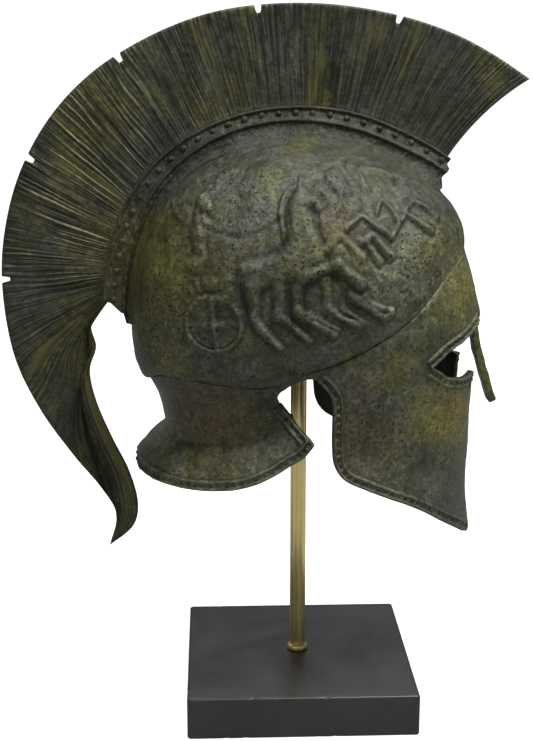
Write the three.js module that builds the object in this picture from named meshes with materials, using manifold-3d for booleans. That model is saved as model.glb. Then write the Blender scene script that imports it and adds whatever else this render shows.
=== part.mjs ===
// A crested bronze helmet of the old Greek kind, with cheek guards, a nose bar and a chariot in relief on
// each side of the bowl, held up by a brass post on a square marble block.
// X points out of the face, Z points up, and the plane Y = 0 mirrors the helmet.

import * as THREE from 'three';
import Module from 'manifold-3d';
import { mergeVertices } from 'three/addons/utils/BufferGeometryUtils.js';

const wasm = await Module();
wasm.setup();

// Driving dimensions, in millimetres.
const GAP = 0.3;
const BASE_SIDE = 150;
const BASE_HEIGHT = 28;
const BASE_CHAMFER = 1.2;
const ROD_DIAMETER = 10.5;
const ROD_SEAT = 14;
const ROD_RING_DIAMETER = 13.5;
const ROD_RING_HEIGHT = 3.5;
const LIFT = 95;
const HELMET_HEIGHT = 255;
const BOWL_BACK = 109;
const BOWL_FRONT = 105;
const BOWL_SIDE = 90;
const BROW = 118;
const WALL = 2.8;
const BULGE_SIDE = 32;
const BULGE_BACK = 39;
const BULGE_FRONT = 5;
const FLARE_BACK = 19.5;
const FLARE_SIDE = 15;
const FLARE_HEIGHT_BACK = 21;
const FLARE_HEIGHT_SIDE = 28;
const FACE_GAP = 50;
const NOSE_WIDTH = 16;
const NOSE_THICKNESS = 3.8;
const RIM_WIDTH = 5.4;
const RIM_RISE = 0.9;
const RELIEF_RISE = 2;
const LIMB_WIDTH = 6;
const WHEEL_RADIUS = 17.6;
const DRIVER_HEAD = 4.6;
const RIDGE_RISE = 20;
const RIDGE_FOOT = 22;
const RIDGE_SHELF = 14.5;
const RIDGE_TOP = 10.5;
const STUD_DIAMETER = 4.3;
const STUD_PITCH = 10;
const STUD_RISE = 1.4;
const GROOVE_DEPTH = 5;
const CREST_RADIUS = 198;
const CREST_ROOT = 5.4;
const CREST_EDGE = 3;
const CREST_RIB = 0.35;
const CREST_RIBS = 30;
const FRONT_SAG = 4.4;
const NOTCH_WIDTH = 3.4;
const NOTCH_DEPTH = 4.5;

// Sizes worked out from the ones above.
const LENGTH = BOWL_BACK + BOWL_FRONT;
const FOOT = BASE_HEIGHT + LIFT;
const CROWN = FOOT + HELMET_HEIGHT;
const ROUNDNESS = 2.2;
const CENTRE = { x: -0.025 * LENGTH, z: CROWN - 0.455 * HELMET_HEIGHT };
const RIDGE_RADIUS = CROWN - CENTRE.z + RIDGE_RISE;
const REACH = 2 * LENGTH;

// Sections of the wall below the bowl's bulge. Height is a share of the helmet's height over the cheek
// tips, and the other columns are shares of the bowl's back, its half width, the same again, and the brow.
const WALL_SECTIONS = [
  { height: -0.10, back: 0.80, neck: 0.80, cheek: 0.84, front: 1.00 },
  { height: 0.00, back: 0.80, neck: 0.80, cheek: 0.87, front: 0.982 },
  { height: 0.10, back: 0.80, neck: 0.80, cheek: 0.90, front: 0.955 },
  { height: 0.26, back: 0.805, neck: 0.80, cheek: 0.92, front: 0.955 },
  { height: 0.36, back: 0.85, neck: 0.83, cheek: 0.93, front: 0.962 },
  { height: 0.42, back: 0.92, neck: 0.88, cheek: 0.935, front: 0.968 },
  { height: 0.47, back: 0.95, neck: 0.935, cheek: 0.935, front: 0.98 },
  { height: 0.53, back: 0.95, neck: 0.935, cheek: 0.935, front: 1.00 },
  { height: 0.62, back: 0.95, neck: 0.935, cheek: 0.93, front: 0.96 },
  { height: 0.735, back: 0.95, neck: 0.93, cheek: 0.91, front: 0.889 },
  { height: 0.90, back: 0.95, neck: 0.93, cheek: 0.91, front: 0.80 },
];

// The crease under the bulge, x as a share of the length and height as above.
const CREASE = [
  { x: -0.50, height: 0.405 },
  { x: -0.45, height: 0.433 },
  { x: -0.375, height: 0.440 },
  { x: -0.28, height: 0.437 },
  { x: -0.09, height: 0.441 },
  { x: 0.00, height: 0.475 },
  { x: 0.08, height: 0.498 },
  { x: 0.18, height: 0.541 },
  { x: 0.29, height: 0.604 },
  { x: 0.40, height: 0.688 },
  { x: 0.50, height: 0.737 },
];

// The neck guard's lower edge, from the middle of the back to its pointed front corner.
const NECK_RIM = [
  { x: -0.51, height: 0.176 },
  { x: -0.42, height: 0.175 },
  { x: -0.27, height: 0.182 },
  { x: -0.205, height: 0.191 },
  { x: -0.15, height: 0.206 },
  { x: -0.094, height: 0.2305 },
  { x: -0.05, height: 0.255 },
  { x: 0.00, height: 0.286 },
  { x: 0.016, height: 0.3055 },
];

// Stretches of the side outline as [x, height] shares, each one smooth curve.
const EAR_NOTCH = [
  [0.016, 0.3055], [-0.037, 0.350], [-0.075, 0.390], [-0.081, 0.415], [-0.057, 0.437],
  [-0.012, 0.459], [0.031, 0.458], [0.058, 0.435], [0.076, 0.405],
];
const CHEEK_BACK = [[0.076, 0.405], [0.078, 0.350], [0.079, 0.290], [0.086, 0.245], [0.113, 0.210]];
const CHEEK_FOOT = [[0.113, 0.210], [0.175, 0.182], [0.236, 0.157], [0.30, 0.131], [0.36, 0.101],
  [0.416, 0.067], [0.47, 0.033], [0.505, 0.008], [0.54, 0.001]];
const BROW_EDGE = [[0.360, 0.469], [0.411, 0.502], [0.458, 0.522], [0.495, 0.539], [0.523, 0.556],
  [0.60, 0.590]];
const EYE_FOOT = [[0.60, 0.420], [0.514, 0.4205], [0.486, 0.4175], [0.453, 0.4235], [0.416, 0.434],
  [0.388, 0.453], [0.360, 0.469]];

// The nose bar's outer face from the brow down, x as a share of the brow and width as a share of the bar's.
const NOSE_SECTIONS = [
  { x: 0.955, height: 0.630, width: 1.50 },
  { x: 0.968, height: 0.585, width: 1.25 },
  { x: 0.980, height: 0.545, width: 1.00 },
  { x: 0.995, height: 0.500, width: 0.95 },
  { x: 1.018, height: 0.450, width: 0.95 },
  { x: 1.058, height: 0.388, width: 1.00 },
  { x: 1.104, height: 0.322, width: 1.05 },
];

// The ridge that holds the crest, front to back, as shares of its radius round the crest's centre.
const RIDGE_SECTIONS = [
  { foot: 0.900, shelf: 0.993, top: 1.055 },
  { foot: 0.864, shelf: 0.951, top: 1.022 },
  { foot: 0.842, shelf: 0.938, top: 1.009 },
  { foot: 0.831, shelf: 0.934, top: 0.999 },
  { foot: 0.844, shelf: 0.929, top: 0.994 },
  { foot: 0.859, shelf: 0.916, top: 0.989 },
  { foot: 0.837, shelf: 0.893, top: 0.979 },
  { foot: 0.793, shelf: 0.849, top: 0.952 },
  { foot: 0.759, shelf: 0.809, top: 0.912 },
  { foot: 0.745, shelf: 0.783, top: 0.897 },
];
const RIDGE_ANGLES = { foot: [42.3, 180], shelf: [44.3, 177], top: [45.8, 173.5] };

// Strands of the crest, front to tail: where each is rooted on the ridge, as a share of the ridge's run,
// its tip as shares of the crest's radius round the same centre, and the share of the tail's inner edge
// that it follows.
const STRANDS = [
  { root: 0.00, x: 0.758, z: 0.766, edge: 0 },
  { root: 0.05, x: 0.641, z: 0.841, edge: 0 },
  { root: 0.11, x: 0.510, z: 0.907, edge: 0 },
  { root: 0.19, x: 0.338, z: 0.962, edge: 0 },
  { root: 0.28, x: 0.126, z: 0.996, edge: 0 },
  { root: 0.38, x: -0.086, z: 0.996, edge: 0 },
  { root: 0.47, x: -0.278, z: 0.964, edge: 0 },
  { root: 0.56, x: -0.465, z: 0.890, edge: 0 },
  { root: 0.66, x: -0.636, z: 0.783, edge: 0 },
  { root: 0.75, x: -0.773, z: 0.641, edge: 0 },
  { root: 0.83, x: -0.874, z: 0.462, edge: 0 },
  { root: 0.90, x: -0.929, z: 0.263, edge: 0 },
  { root: 0.95, x: -0.939, z: 0.076, edge: 0.04 },
  { root: 0.98, x: -0.909, z: -0.131, edge: 0.13 },
  { root: 0.99, x: -0.833, z: -0.308, edge: 0.28 },
  { root: 0.994, x: -0.729, z: -0.467, edge: 0.44 },
  { root: 0.997, x: -0.641, z: -0.581, edge: 0.57 },
  { root: 0.999, x: -0.590, z: -0.680, edge: 0.72 },
  { root: 1.00, x: -0.615, z: -0.790, edge: 1.00 },
];

// The tail's inner edge, root to tip, as shares of the crest's radius.
const TAIL_EDGE = [
  { x: -0.615, z: 0.066 },
  { x: -0.678, z: -0.022 },
  { x: -0.663, z: -0.100 },
  { x: -0.683, z: -0.180 },
  { x: -0.661, z: -0.285 },
  { x: -0.608, z: -0.412 },
  { x: -0.552, z: -0.527 },
  { x: -0.522, z: -0.640 },
  { x: -0.538, z: -0.722 },
  { x: -0.615, z: -0.790 },
];

// Chips in the crest's outer edge, as shares of the strands from front to tail.
const NOTCHES = [0.166, 0.284, 0.416, 0.537, 0.651];

// The raised scene as [x, height] shares. Outlines are closed smooth curves, and a stroke's width is a
// share of a limb's.
const HORSE = [
  [-0.197, 0.726], [-0.159, 0.745], [-0.104, 0.757], [-0.066, 0.784], [-0.062, 0.840], [-0.043, 0.885],
  [-0.007, 0.902], [0.039, 0.877], [0.052, 0.862], [0.024, 0.850], [0.010, 0.857], [0.012, 0.843],
  [0.035, 0.791], [0.051, 0.746], [0.018, 0.711], [-0.048, 0.693], [-0.108, 0.683], [-0.159, 0.664],
  [-0.192, 0.701],
];
const FAR_HORSES = [
  [[0.055, 0.935], [0.106, 0.934], [0.128, 0.898], [0.090, 0.870], [0.105, 0.799], [0.057, 0.769],
    [0.029, 0.830], [0.054, 0.866]],
  [[0.117, 0.957], [0.155, 0.942], [0.180, 0.896], [0.150, 0.890], [0.153, 0.859], [0.117, 0.824],
    [0.093, 0.850], [0.120, 0.895]],
  [[0.060, 0.780], [0.129, 0.780], [0.165, 0.733], [0.143, 0.677], [0.089, 0.690], [0.054, 0.745]],
];
const DRIVER = [
  [-0.327, 0.707], [-0.341, 0.727], [-0.326, 0.760], [-0.326, 0.800], [-0.346, 0.821], [-0.373, 0.851],
  [-0.370, 0.866], [-0.329, 0.854], [-0.292, 0.845], [-0.267, 0.818], [-0.284, 0.758], [-0.282, 0.736],
  [-0.293, 0.710],
];
const HEAD = { x: -0.286, height: 0.864 };
const WHEEL = { x: -0.260, height: 0.591, rim: 0.16, hub: 0.19, spoke: 0.12, spokes: 4, turn: 7 };
const STROKES = [
  { width: 1.30, line: [[-0.015, 0.709], [0.040, 0.724], [0.077, 0.736], [0.123, 0.702], [0.140, 0.690]] },
  { width: 0.90, line: [[0.049, 0.769], [0.088, 0.797], [0.129, 0.765], [0.146, 0.749]] },
  { width: 0.75, line: [[0.161, 0.788], [0.178, 0.796], [0.231, 0.750]] },
  { width: 0.75, line: [[0.138, 0.787], [0.155, 0.782], [0.199, 0.738]] },
  { width: 0.70, line: [[0.105, 0.814], [0.149, 0.840], [0.233, 0.792], [0.280, 0.837], [0.354, 0.797]] },
  { width: 0.60, line: [[0.192, 0.845], [0.209, 0.870], [0.253, 0.830]] },
  { width: 0.65, line: [[0.275, 0.844], [0.305, 0.865], [0.374, 0.825]] },
  { width: 1.15, line: [[-0.157, 0.673], [-0.149, 0.613], [-0.077, 0.541]] },
  { width: 1.15, line: [[-0.080, 0.686], [-0.083, 0.621], [0.002, 0.560]] },
  { width: 1.15, line: [[-0.031, 0.688], [-0.031, 0.628], [0.072, 0.573]] },
  { width: 0.90, line: [[0.045, 0.702], [0.051, 0.637], [0.144, 0.592]] },
  { width: 1.00, line: [[0.120, 0.666], [0.174, 0.631], [0.233, 0.615]] },
  { width: 1.30, line: [[-0.341, 0.680], [-0.283, 0.688], [-0.190, 0.698]] },
];

// How finely the solids are faceted.
const BOWL_COLUMNS = 42;
const BOWL_ROWS = 9;
const LINING_COLUMNS = 30;
const RELIEF_COLUMNS = 26;
const RELIEF_ROWS = 3;
const DOME_LEVELS = [1.06, 1.3, 1.7, 2.1, 2.3, 2.45, 2.6, 2.74, 2.87, 2.96];
const COARSE_LEVELS = [1.06, 1.3, 2, 2.25, 2.45, 2.65, 2.82, 2.96];
const CURVE_STEPS = 2;
const RIDGE_STATIONS = 14;
const CREST_ROWS = 5;

const MATERIALS = {
  bronze: new THREE.MeshStandardMaterial({ color: 0x4b4a3a, roughness: 0.55, metalness: 0.7 }),
  crestBronze: new THREE.MeshStandardMaterial({ color: 0x44432f, roughness: 0.6, metalness: 0.7 }),
  brass: new THREE.MeshStandardMaterial({ color: 0x9a8446, roughness: 0.3, metalness: 1 }),
  marble: new THREE.MeshStandardMaterial({ color: 0x3a3a3b, roughness: 0.35, metalness: 0 }),
};

// Number helpers.
const mix = (a, b, t) => a + (b - a) * t;
const clamp = (t) => Math.min(1, Math.max(0, t));
const smooth = (t) => clamp(t) * clamp(t) * (3 - 2 * clamp(t));
const radians = (degrees) => (degrees * Math.PI) / 180;
const sideX = (share) => share * LENGTH;
const sideZ = (share) => FOOT + share * HELMET_HEIGHT;
const toSide = (rows) => rows.map((row) => new THREE.Vector2(sideX(row[0]), sideZ(row[1])));

// Smooth value of a column at a place along a table's key column.
function lookUp(rows, key, column, at) {
  const last = rows.length - 1;
  const place = Math.min(rows[last][key], Math.max(rows[0][key], at));
  let i = 0;
  while (i < last - 1 && rows[i + 1][key] < place) i += 1;
  const slope = (k) => {
    const low = rows[Math.max(0, k - 1)];
    const high = rows[Math.min(last, k + 1)];
    return (high[column] - low[column]) / (high[key] - low[key]);
  };
  const step = rows[i + 1][key] - rows[i][key];
  const t = (place - rows[i][key]) / step;
  const rise = t * t * (3 - 2 * t);
  const start = t * (1 - t) * (1 - t) * step * slope(i);
  const end = t * t * (t - 1) * step * slope(i + 1);
  return mix(rows[i][column], rows[i + 1][column], rise) + start + end;
}

// Smooth value of a column, with the rows evenly spaced from 0 to 1.
function lookAlong(rows, column, t) {
  const last = rows.length - 1;
  const i = Math.min(last - 1, Math.floor(clamp(t) * last));
  const at = (k) => rows[Math.min(last, Math.max(0, k))][column];
  const f = clamp(t) * last - i;
  const slopeA = (at(i + 1) - at(i - 1)) / 2;
  const slopeB = (at(i + 2) - at(i)) / 2;
  const eased = mix(at(i), at(i + 1), f * f * (3 - 2 * f));
  return eased + f * (1 - f) * (1 - f) * slopeA + f * f * (f - 1) * slopeB;
}

// A closed BufferGeometry becomes a solid that can be joined and cut.
function solid(geometry) {
  const bare = geometry.clone();
  bare.deleteAttribute('normal');
  bare.deleteAttribute('uv');
  const merged = mergeVertices(bare, 1e-4);
  return new wasm.Manifold(new wasm.Mesh({
    numProp: 3,
    vertProperties: new Float32Array(merged.getAttribute('position').array),
    triVerts: new Uint32Array(merged.getIndex().array),
  }));
}

function joined(solids) {
  return solids.reduce((all, next) => all.add(next));
}

// A solid becomes a named mesh of the model.
function piece(name, shape, material) {
  const data = shape.getMesh();
  const geometry = new THREE.BufferGeometry();
  geometry.setAttribute('position', new THREE.BufferAttribute(new Float32Array(data.vertProperties), 3));
  geometry.setIndex(new THREE.BufferAttribute(new Uint32Array(data.triVerts), 1));
  geometry.computeVertexNormals();
  const mesh = new THREE.Mesh(geometry, material);
  mesh.name = name;
  return mesh;
}

// Rings of equal length are skinned one to the next and closed by a flat cap at each end.
function loft(rings, capPlane) {
  const count = rings[0].length;
  const positions = rings.flat().flatMap((point) => [point.x, point.y, point.z]);
  const faces = [];
  for (let i = 0; i < rings.length - 1; i += 1) {
    for (let j = 0; j < count; j += 1) {
      const a = i * count + j;
      const b = i * count + ((j + 1) % count);
      faces.push(a, b, a + count, b, b + count, a + count);
    }
  }
  [0, rings.length - 1].forEach((i) => {
    const flat = rings[i].map(capPlane);
    const turned = THREE.ShapeUtils.isClockWise(flat);
    THREE.ShapeUtils.triangulateShape(flat, []).forEach(([a, b, c]) => {
      const forward = (i === 0) === turned;
      const corner = forward ? [a, b, c] : [a, c, b];
      faces.push(...corner.map((k) => i * count + k));
    });
  });
  const geometry = new THREE.BufferGeometry();
  geometry.setAttribute('position', new THREE.Float32BufferAttribute(positions, 3));
  geometry.setIndex(faces);
  const made = solid(geometry);
  if (made.volume() > 0) return made;
  const flipped = [];
  for (let k = 0; k < faces.length; k += 3) flipped.push(faces[k], faces[k + 2], faces[k + 1]);
  geometry.setIndex(flipped);
  return solid(geometry);
}

// A side outline becomes a prism along Y between two places.
function prism(points, low, high) {
  const settings = { depth: high - low, bevelEnabled: false };
  const geometry = new THREE.ExtrudeGeometry(new THREE.Shape(points), settings);
  geometry.rotateX(Math.PI / 2);
  geometry.translate(0, high, 0);
  return solid(geometry);
}

// A line in the side view becomes an outline of even width.
function ribbon(line, width, steps = CURVE_STEPS) {
  const curve = new THREE.SplineCurve(line);
  const count = steps * (line.length - 1);
  const left = [];
  const right = [];
  for (let i = 0; i <= count; i += 1) {
    const at = curve.getPoint(i / count);
    const along = curve.getTangent(i / count);
    left.push(new THREE.Vector2(at.x - (along.y * width) / 2, at.y + (along.x * width) / 2));
    right.unshift(new THREE.Vector2(at.x + (along.y * width) / 2, at.y - (along.x * width) / 2));
  }
  return [...left, ...right];
}

function spline(line, steps = CURVE_STEPS) {
  return new THREE.SplineCurve(line).getPoints(steps * (line.length - 1));
}

// A point of the plan section at an angle round the helmet: a rounded oval, longer or shorter in front.
function oval(angle, front, back, side) {
  const c = Math.cos(angle);
  const s = Math.sin(angle);
  const x = (c > 0 ? front : back) * Math.sign(c) * Math.abs(c) ** (2 / ROUNDNESS);
  const y = side * Math.sign(s) * Math.abs(s) ** (2 / ROUNDNESS);
  return new THREE.Vector2(x, y);
}

// The wall of neck and cheeks at a height. The neck guard flares out over its rim.
function wallAt(angle, z) {
  const share = oval(angle, BOWL_FRONT, BOWL_BACK, BOWL_SIDE).x / LENGTH;
  const height = (z - FOOT) / HELMET_HEIGHT;
  const cheek = smooth((share + 0.02) / 0.12);
  const rear = clamp(-Math.cos(angle)) ** 2;
  const rim = sideZ(lookUp(NECK_RIM, 'x', 'height', share));
  const near = clamp(1 - (z - rim) / mix(FLARE_HEIGHT_SIDE, FLARE_HEIGHT_BACK, rear));
  const flare = (1 - (1 - near) ** (1.7 + 0.8 * rear)) * (1 - cheek);
  const neckSide = lookUp(WALL_SECTIONS, 'height', 'neck', height);
  const cheekSide = lookUp(WALL_SECTIONS, 'height', 'cheek', height);
  return oval(
    angle,
    BROW * lookUp(WALL_SECTIONS, 'height', 'front', height),
    BOWL_BACK * lookUp(WALL_SECTIONS, 'height', 'back', height) + FLARE_BACK * flare,
    BOWL_SIDE * mix(neckSide, cheekSide, cheek) + FLARE_SIDE * flare,
  );
}

// The helmet's outer surface. Level runs from 0 at the foot to 1 at the crease, 2 at the widest and 3 at
// the crown.
function surface(angle, level) {
  const share = oval(angle, BOWL_FRONT, BOWL_BACK, BOWL_SIDE).x / LENGTH;
  const rear = clamp(-Math.cos(angle));
  const fore = clamp(Math.cos(angle));
  const crease = sideZ(lookUp(CREASE, 'x', 'height', share));
  const foot = mix(sideZ(0.145), sideZ(-0.027), smooth((share - 0.047) / 0.374));
  if (level <= 1) {
    const z = mix(foot, crease, level);
    const at = wallAt(angle, z);
    return new THREE.Vector3(at.x, at.y, z);
  }
  const bulge = BULGE_SIDE + (BULGE_BACK - BULGE_SIDE) * rear - (BULGE_SIDE - BULGE_FRONT) * fore ** 1.5;
  const widest = oval(angle, BOWL_FRONT, BOWL_BACK, BOWL_SIDE);
  if (level <= 2) {
    const grow = (1 - (2 - level) ** 2.2) ** (1 / 2.2);
    const at = wallAt(angle, crease).lerp(widest, grow);
    return new THREE.Vector3(at.x, at.y, crease + bulge * (level - 1));
  }
  const turn = (level - 2) * Math.PI / 2;
  const power = 2 / (2.3 + 0.05 * rear - 0.5 * fore);
  const at = widest.multiplyScalar(Math.cos(turn) ** power);
  return new THREE.Vector3(at.x, at.y, mix(crease + bulge, CROWN, Math.sin(turn) ** power));
}

// The same surface moved out or in along its normal.
function offsetSurface(angle, level, distance) {
  const step = 0.01;
  const across = surface(angle + step, level).sub(surface(angle - step, level));
  const up = surface(angle, Math.min(2.98, level + step)).sub(surface(angle, Math.max(0, level - step)));
  return surface(angle, level).addScaledVector(across.cross(up).normalize(), distance);
}

// The helmet as one full body, grown or shrunk, with its foot carried down by a drop.
function bowl(distance, columns, wallRows, domeLevels, drop = 0) {
  const levels = [];
  for (let i = 0; i <= wallRows; i += 1) levels.push((i / wallRows) * 0.999);
  levels.push(...domeLevels);
  const rings = levels.map((level) => {
    const ring = [];
    for (let j = 0; j < columns; j += 1) {
      const angle = (2 * Math.PI * j) / columns;
      ring.push(offsetSurface(angle, level, distance));
    }
    return ring;
  });
  rings[0].forEach((point) => { point.z -= drop; });
  return loft(rings, (point) => new THREE.Vector2(point.x, point.y));
}

// What lies under the neck rim, in the ear notch and under the cheeks.
function undercut() {
  const rim = spline(NECK_RIM.map((row) => new THREE.Vector2(sideX(row.x), sideZ(row.height))));
  const outline = [
    new THREE.Vector2(-REACH, rim[0].y),
    ...rim,
    ...spline(toSide(EAR_NOTCH)).slice(1),
    ...spline(toSide(CHEEK_BACK)).slice(1),
    ...spline(toSide(CHEEK_FOOT)).slice(1),
    new THREE.Vector2(REACH, sideZ(0)),
    new THREE.Vector2(REACH, -REACH),
    new THREE.Vector2(-REACH, -REACH),
  ];
  return prism(outline, -REACH, REACH);
}

// The eye openings, cut from side to side, and the gap between the cheek guards.
function faceOpening() {
  const eyes = [...spline(toSide(BROW_EDGE)), ...spline(toSide(EYE_FOOT)).slice(0, -1)];
  const slot = new THREE.BoxGeometry(BROW, FACE_GAP, HELMET_HEIGHT / 2);
  slot.translate(BROW, 0, sideZ(0.44) - HELMET_HEIGHT / 4);
  return prism(eyes, -REACH, REACH).add(solid(slot));
}

// Raised borders along the edges, both sides at once.
function rims() {
  const edges = [
    NECK_RIM.map((row) => new THREE.Vector2(sideX(row.x), sideZ(row.height))),
    toSide(EAR_NOTCH.slice(0, 3)),
    toSide(CHEEK_BACK),
    toSide(CHEEK_FOOT),
    toSide([[0.335, 0.455], ...BROW_EDGE]),
    toSide([...EYE_FOOT, [0.335, 0.480]]),
  ];
  const bands = edges.map((edge) => prism(ribbon(edge, 2 * RIM_WIDTH, 2), -REACH, REACH));
  return joined(bands);
}

// The scene on one side of the bowl, as one prism. Side is -1 or 1.
function scene(side) {
  const low = side < 0 ? -REACH : BOWL_SIDE / 4;
  const high = side < 0 ? -BOWL_SIDE / 4 : REACH;
  const shapes = [HORSE, ...FAR_HORSES, DRIVER].map(toSide);
  STROKES.forEach((stroke) => shapes.push(ribbon(toSide(stroke.line), LIMB_WIDTH * stroke.width, 1)));
  const prisms = shapes.map((points) => prism(points, low, high));
  const disc = (at, radius, sides) => {
    const circle = new THREE.EllipseCurve(sideX(at.x), sideZ(at.height), radius, radius);
    return prism(circle.getPoints(sides).slice(0, -1), low, high);
  };
  prisms.push(disc(HEAD, DRIVER_HEAD, 7));
  prisms.push(disc(WHEEL, WHEEL_RADIUS, 16).subtract(disc(WHEEL, WHEEL_RADIUS * (1 - WHEEL.rim), 16)));
  prisms.push(disc(WHEEL, WHEEL_RADIUS * WHEEL.hub, 6));
  for (let i = 0; i < WHEEL.spokes / 2; i += 1) {
    const turn = radians(WHEEL.turn + (i * 360) / WHEEL.spokes);
    const reach = new THREE.Vector2(Math.cos(turn), Math.sin(turn)).multiplyScalar(WHEEL_RADIUS * 0.95);
    const centre = new THREE.Vector2(sideX(WHEEL.x), sideZ(WHEEL.height));
    const ends = [centre.clone().sub(reach), centre.clone().add(reach)];
    prisms.push(prism(ribbon(ends, WHEEL_RADIUS * WHEEL.spoke, 1), low, high));
  }
  return joined(prisms);
}

// A point round the crest's centre, at an angle from the front and a radius.
function round(degrees, radius, y) {
  return new THREE.Vector3(
    CENTRE.x + radius * Math.cos(radians(degrees)),
    y,
    CENTRE.z + radius * Math.sin(radians(degrees)),
  );
}

// One line of the ridge at a share of its run.
function ridgeLine(line, t, lift, y) {
  const [start, end] = RIDGE_ANGLES[line];
  return round(mix(start, end, t), RIDGE_RADIUS * lookAlong(RIDGE_SECTIONS, line, t) + lift, y);
}

// The ridge with its foot, shelf, stud band and the groove for the crest.
function ridge() {
  const slot = CREST_ROOT / 2 + GAP;
  const lines = [
    ['foot', -2 * WALL, RIDGE_FOOT],
    ['foot', 0, RIDGE_FOOT],
    ['foot', 4, (RIDGE_FOOT + RIDGE_SHELF) / 2 - 1],
    ['shelf', 0, RIDGE_SHELF],
    ['shelf', 1.4, RIDGE_SHELF],
    ['shelf', 2, RIDGE_SHELF - 1.4],
    ['top', -1.8, RIDGE_TOP + 0.6],
    ['top', -1.3, RIDGE_TOP + 1.4],
    ['top', 0, RIDGE_TOP + 1],
    ['top', 0, slot],
    ['top', -GROOVE_DEPTH, slot],
  ];
  const rings = [];
  for (let i = 0; i <= RIDGE_STATIONS; i += 1) {
    const t = i / RIDGE_STATIONS;
    const near = lines.map(([line, lift, y]) => ridgeLine(line, t, lift, y));
    const far = lines.map(([line, lift, y]) => ridgeLine(line, t, lift, -y)).reverse();
    rings.push([...near, ...far]);
  }
  return loft(rings, (point) => {
    const radius = Math.hypot(point.x - CENTRE.x, point.z - CENTRE.z);
    return new THREE.Vector2(point.y, radius);
  });
}

// A low round stud on each side of the ridge, at every pitch along its band.
function studs() {
  const run = radians(RIDGE_ANGLES.top[1] - RIDGE_ANGLES.top[0]) * RIDGE_RADIUS * 0.95;
  const count = Math.floor(run / STUD_PITCH);
  const all = [];
  for (let i = 0; i < count; i += 1) {
    const t = (i + 0.5) / count;
    const shelf = ridgeLine('shelf', t, 2, RIDGE_SHELF - 1.4);
    const at = shelf.lerp(ridgeLine('top', t, -1.8, RIDGE_TOP + 0.6), 0.5);
    [-1, 1].forEach((side) => {
      const stud = new THREE.ConeGeometry(STUD_DIAMETER / 2, 2 * STUD_RISE, 5);
      if (side < 0) stud.rotateX(Math.PI);
      stud.translate(at.x, side * (at.y + STUD_RISE / 2), at.z);
      all.push(solid(stud));
    });
  }
  return joined(all);
}

// The nose bar hangs from the brow, a little outward, with a square end.
function noseBar() {
  const rings = NOSE_SECTIONS.map((row) => {
    const x = BROW * row.x;
    const half = (NOSE_WIDTH * row.width) / 2;
    const z = sideZ(row.height);
    return [[x, half - 1], [x - 1, half], [x - NOSE_THICKNESS, half], [x - NOSE_THICKNESS, -half],
      [x - 1, -half], [x, 1 - half]].map(([px, py]) => new THREE.Vector3(px, py, z));
  });
  return loft(rings, (point) => new THREE.Vector2(point.x, point.y));
}

function helmetShell() {
  const outside = bowl(0, BOWL_COLUMNS, BOWL_ROWS, DOME_LEVELS);
  const inside = bowl(-WALL, LINING_COLUMNS, BOWL_ROWS, COARSE_LEVELS, HELMET_HEIGHT / 4);
  const sceneSkin = bowl(RELIEF_RISE, RELIEF_COLUMNS, RELIEF_ROWS, COARSE_LEVELS);
  const raisedScene = sceneSkin.intersect(scene(-1).add(scene(1)));
  const raisedRims = bowl(RIM_RISE, BOWL_COLUMNS, BOWL_ROWS, COARSE_LEVELS).intersect(rims());
  const closed = joined([outside, raisedScene, raisedRims, ridge()]);
  const open = closed.subtract(inside).subtract(undercut()).subtract(faceOpening());
  const bar = noseBar().subtract(inside.intersect(browBlock()));
  return joined([open, studs(), bar]);
}

// The hollow behind the brow, which the nose bar's root stays out of.
function browBlock() {
  const block = new THREE.BoxGeometry(2 * BROW, BOWL_SIDE, HELMET_HEIGHT);
  block.translate(0, 0, sideZ(0.56) + HELMET_HEIGHT / 2);
  return solid(block);
}

// A point of the crest's side view. Along runs from front to tail, and up from root to tip.
// Each strand follows the tail's inner edge for its share and leaves it evenly for its own tip. The
// foremost ones sag backwards.
function crestPoint(along, up) {
  const rootShare = lookAlong(STRANDS, 'root', along);
  const root = ridgeLine('top', rootShare, GAP - GROOVE_DEPTH, 0);
  const share = Math.max(0, lookAlong(STRANDS, 'edge', along));
  const edge = (key, t) => CREST_RADIUS * (lookAlong(TAIL_EDGE, key, t) - TAIL_EDGE[0][key]);
  const wayX = CENTRE.x + CREST_RADIUS * lookAlong(STRANDS, 'x', along) - root.x;
  const wayZ = CENTRE.z + CREST_RADIUS * lookAlong(STRANDS, 'z', along) - root.z;
  const sag = FRONT_SAG * 4 * up * (1 - up) * (1 - smooth(along / 0.12)) / Math.hypot(wayX, wayZ);
  return new THREE.Vector2(
    root.x + edge('x', share * up) + (wayX - edge('x', share)) * up - wayZ * sag,
    root.z + edge('z', share * up) + (wayZ - edge('z', share)) * up + wayX * sag,
  );
}

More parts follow.
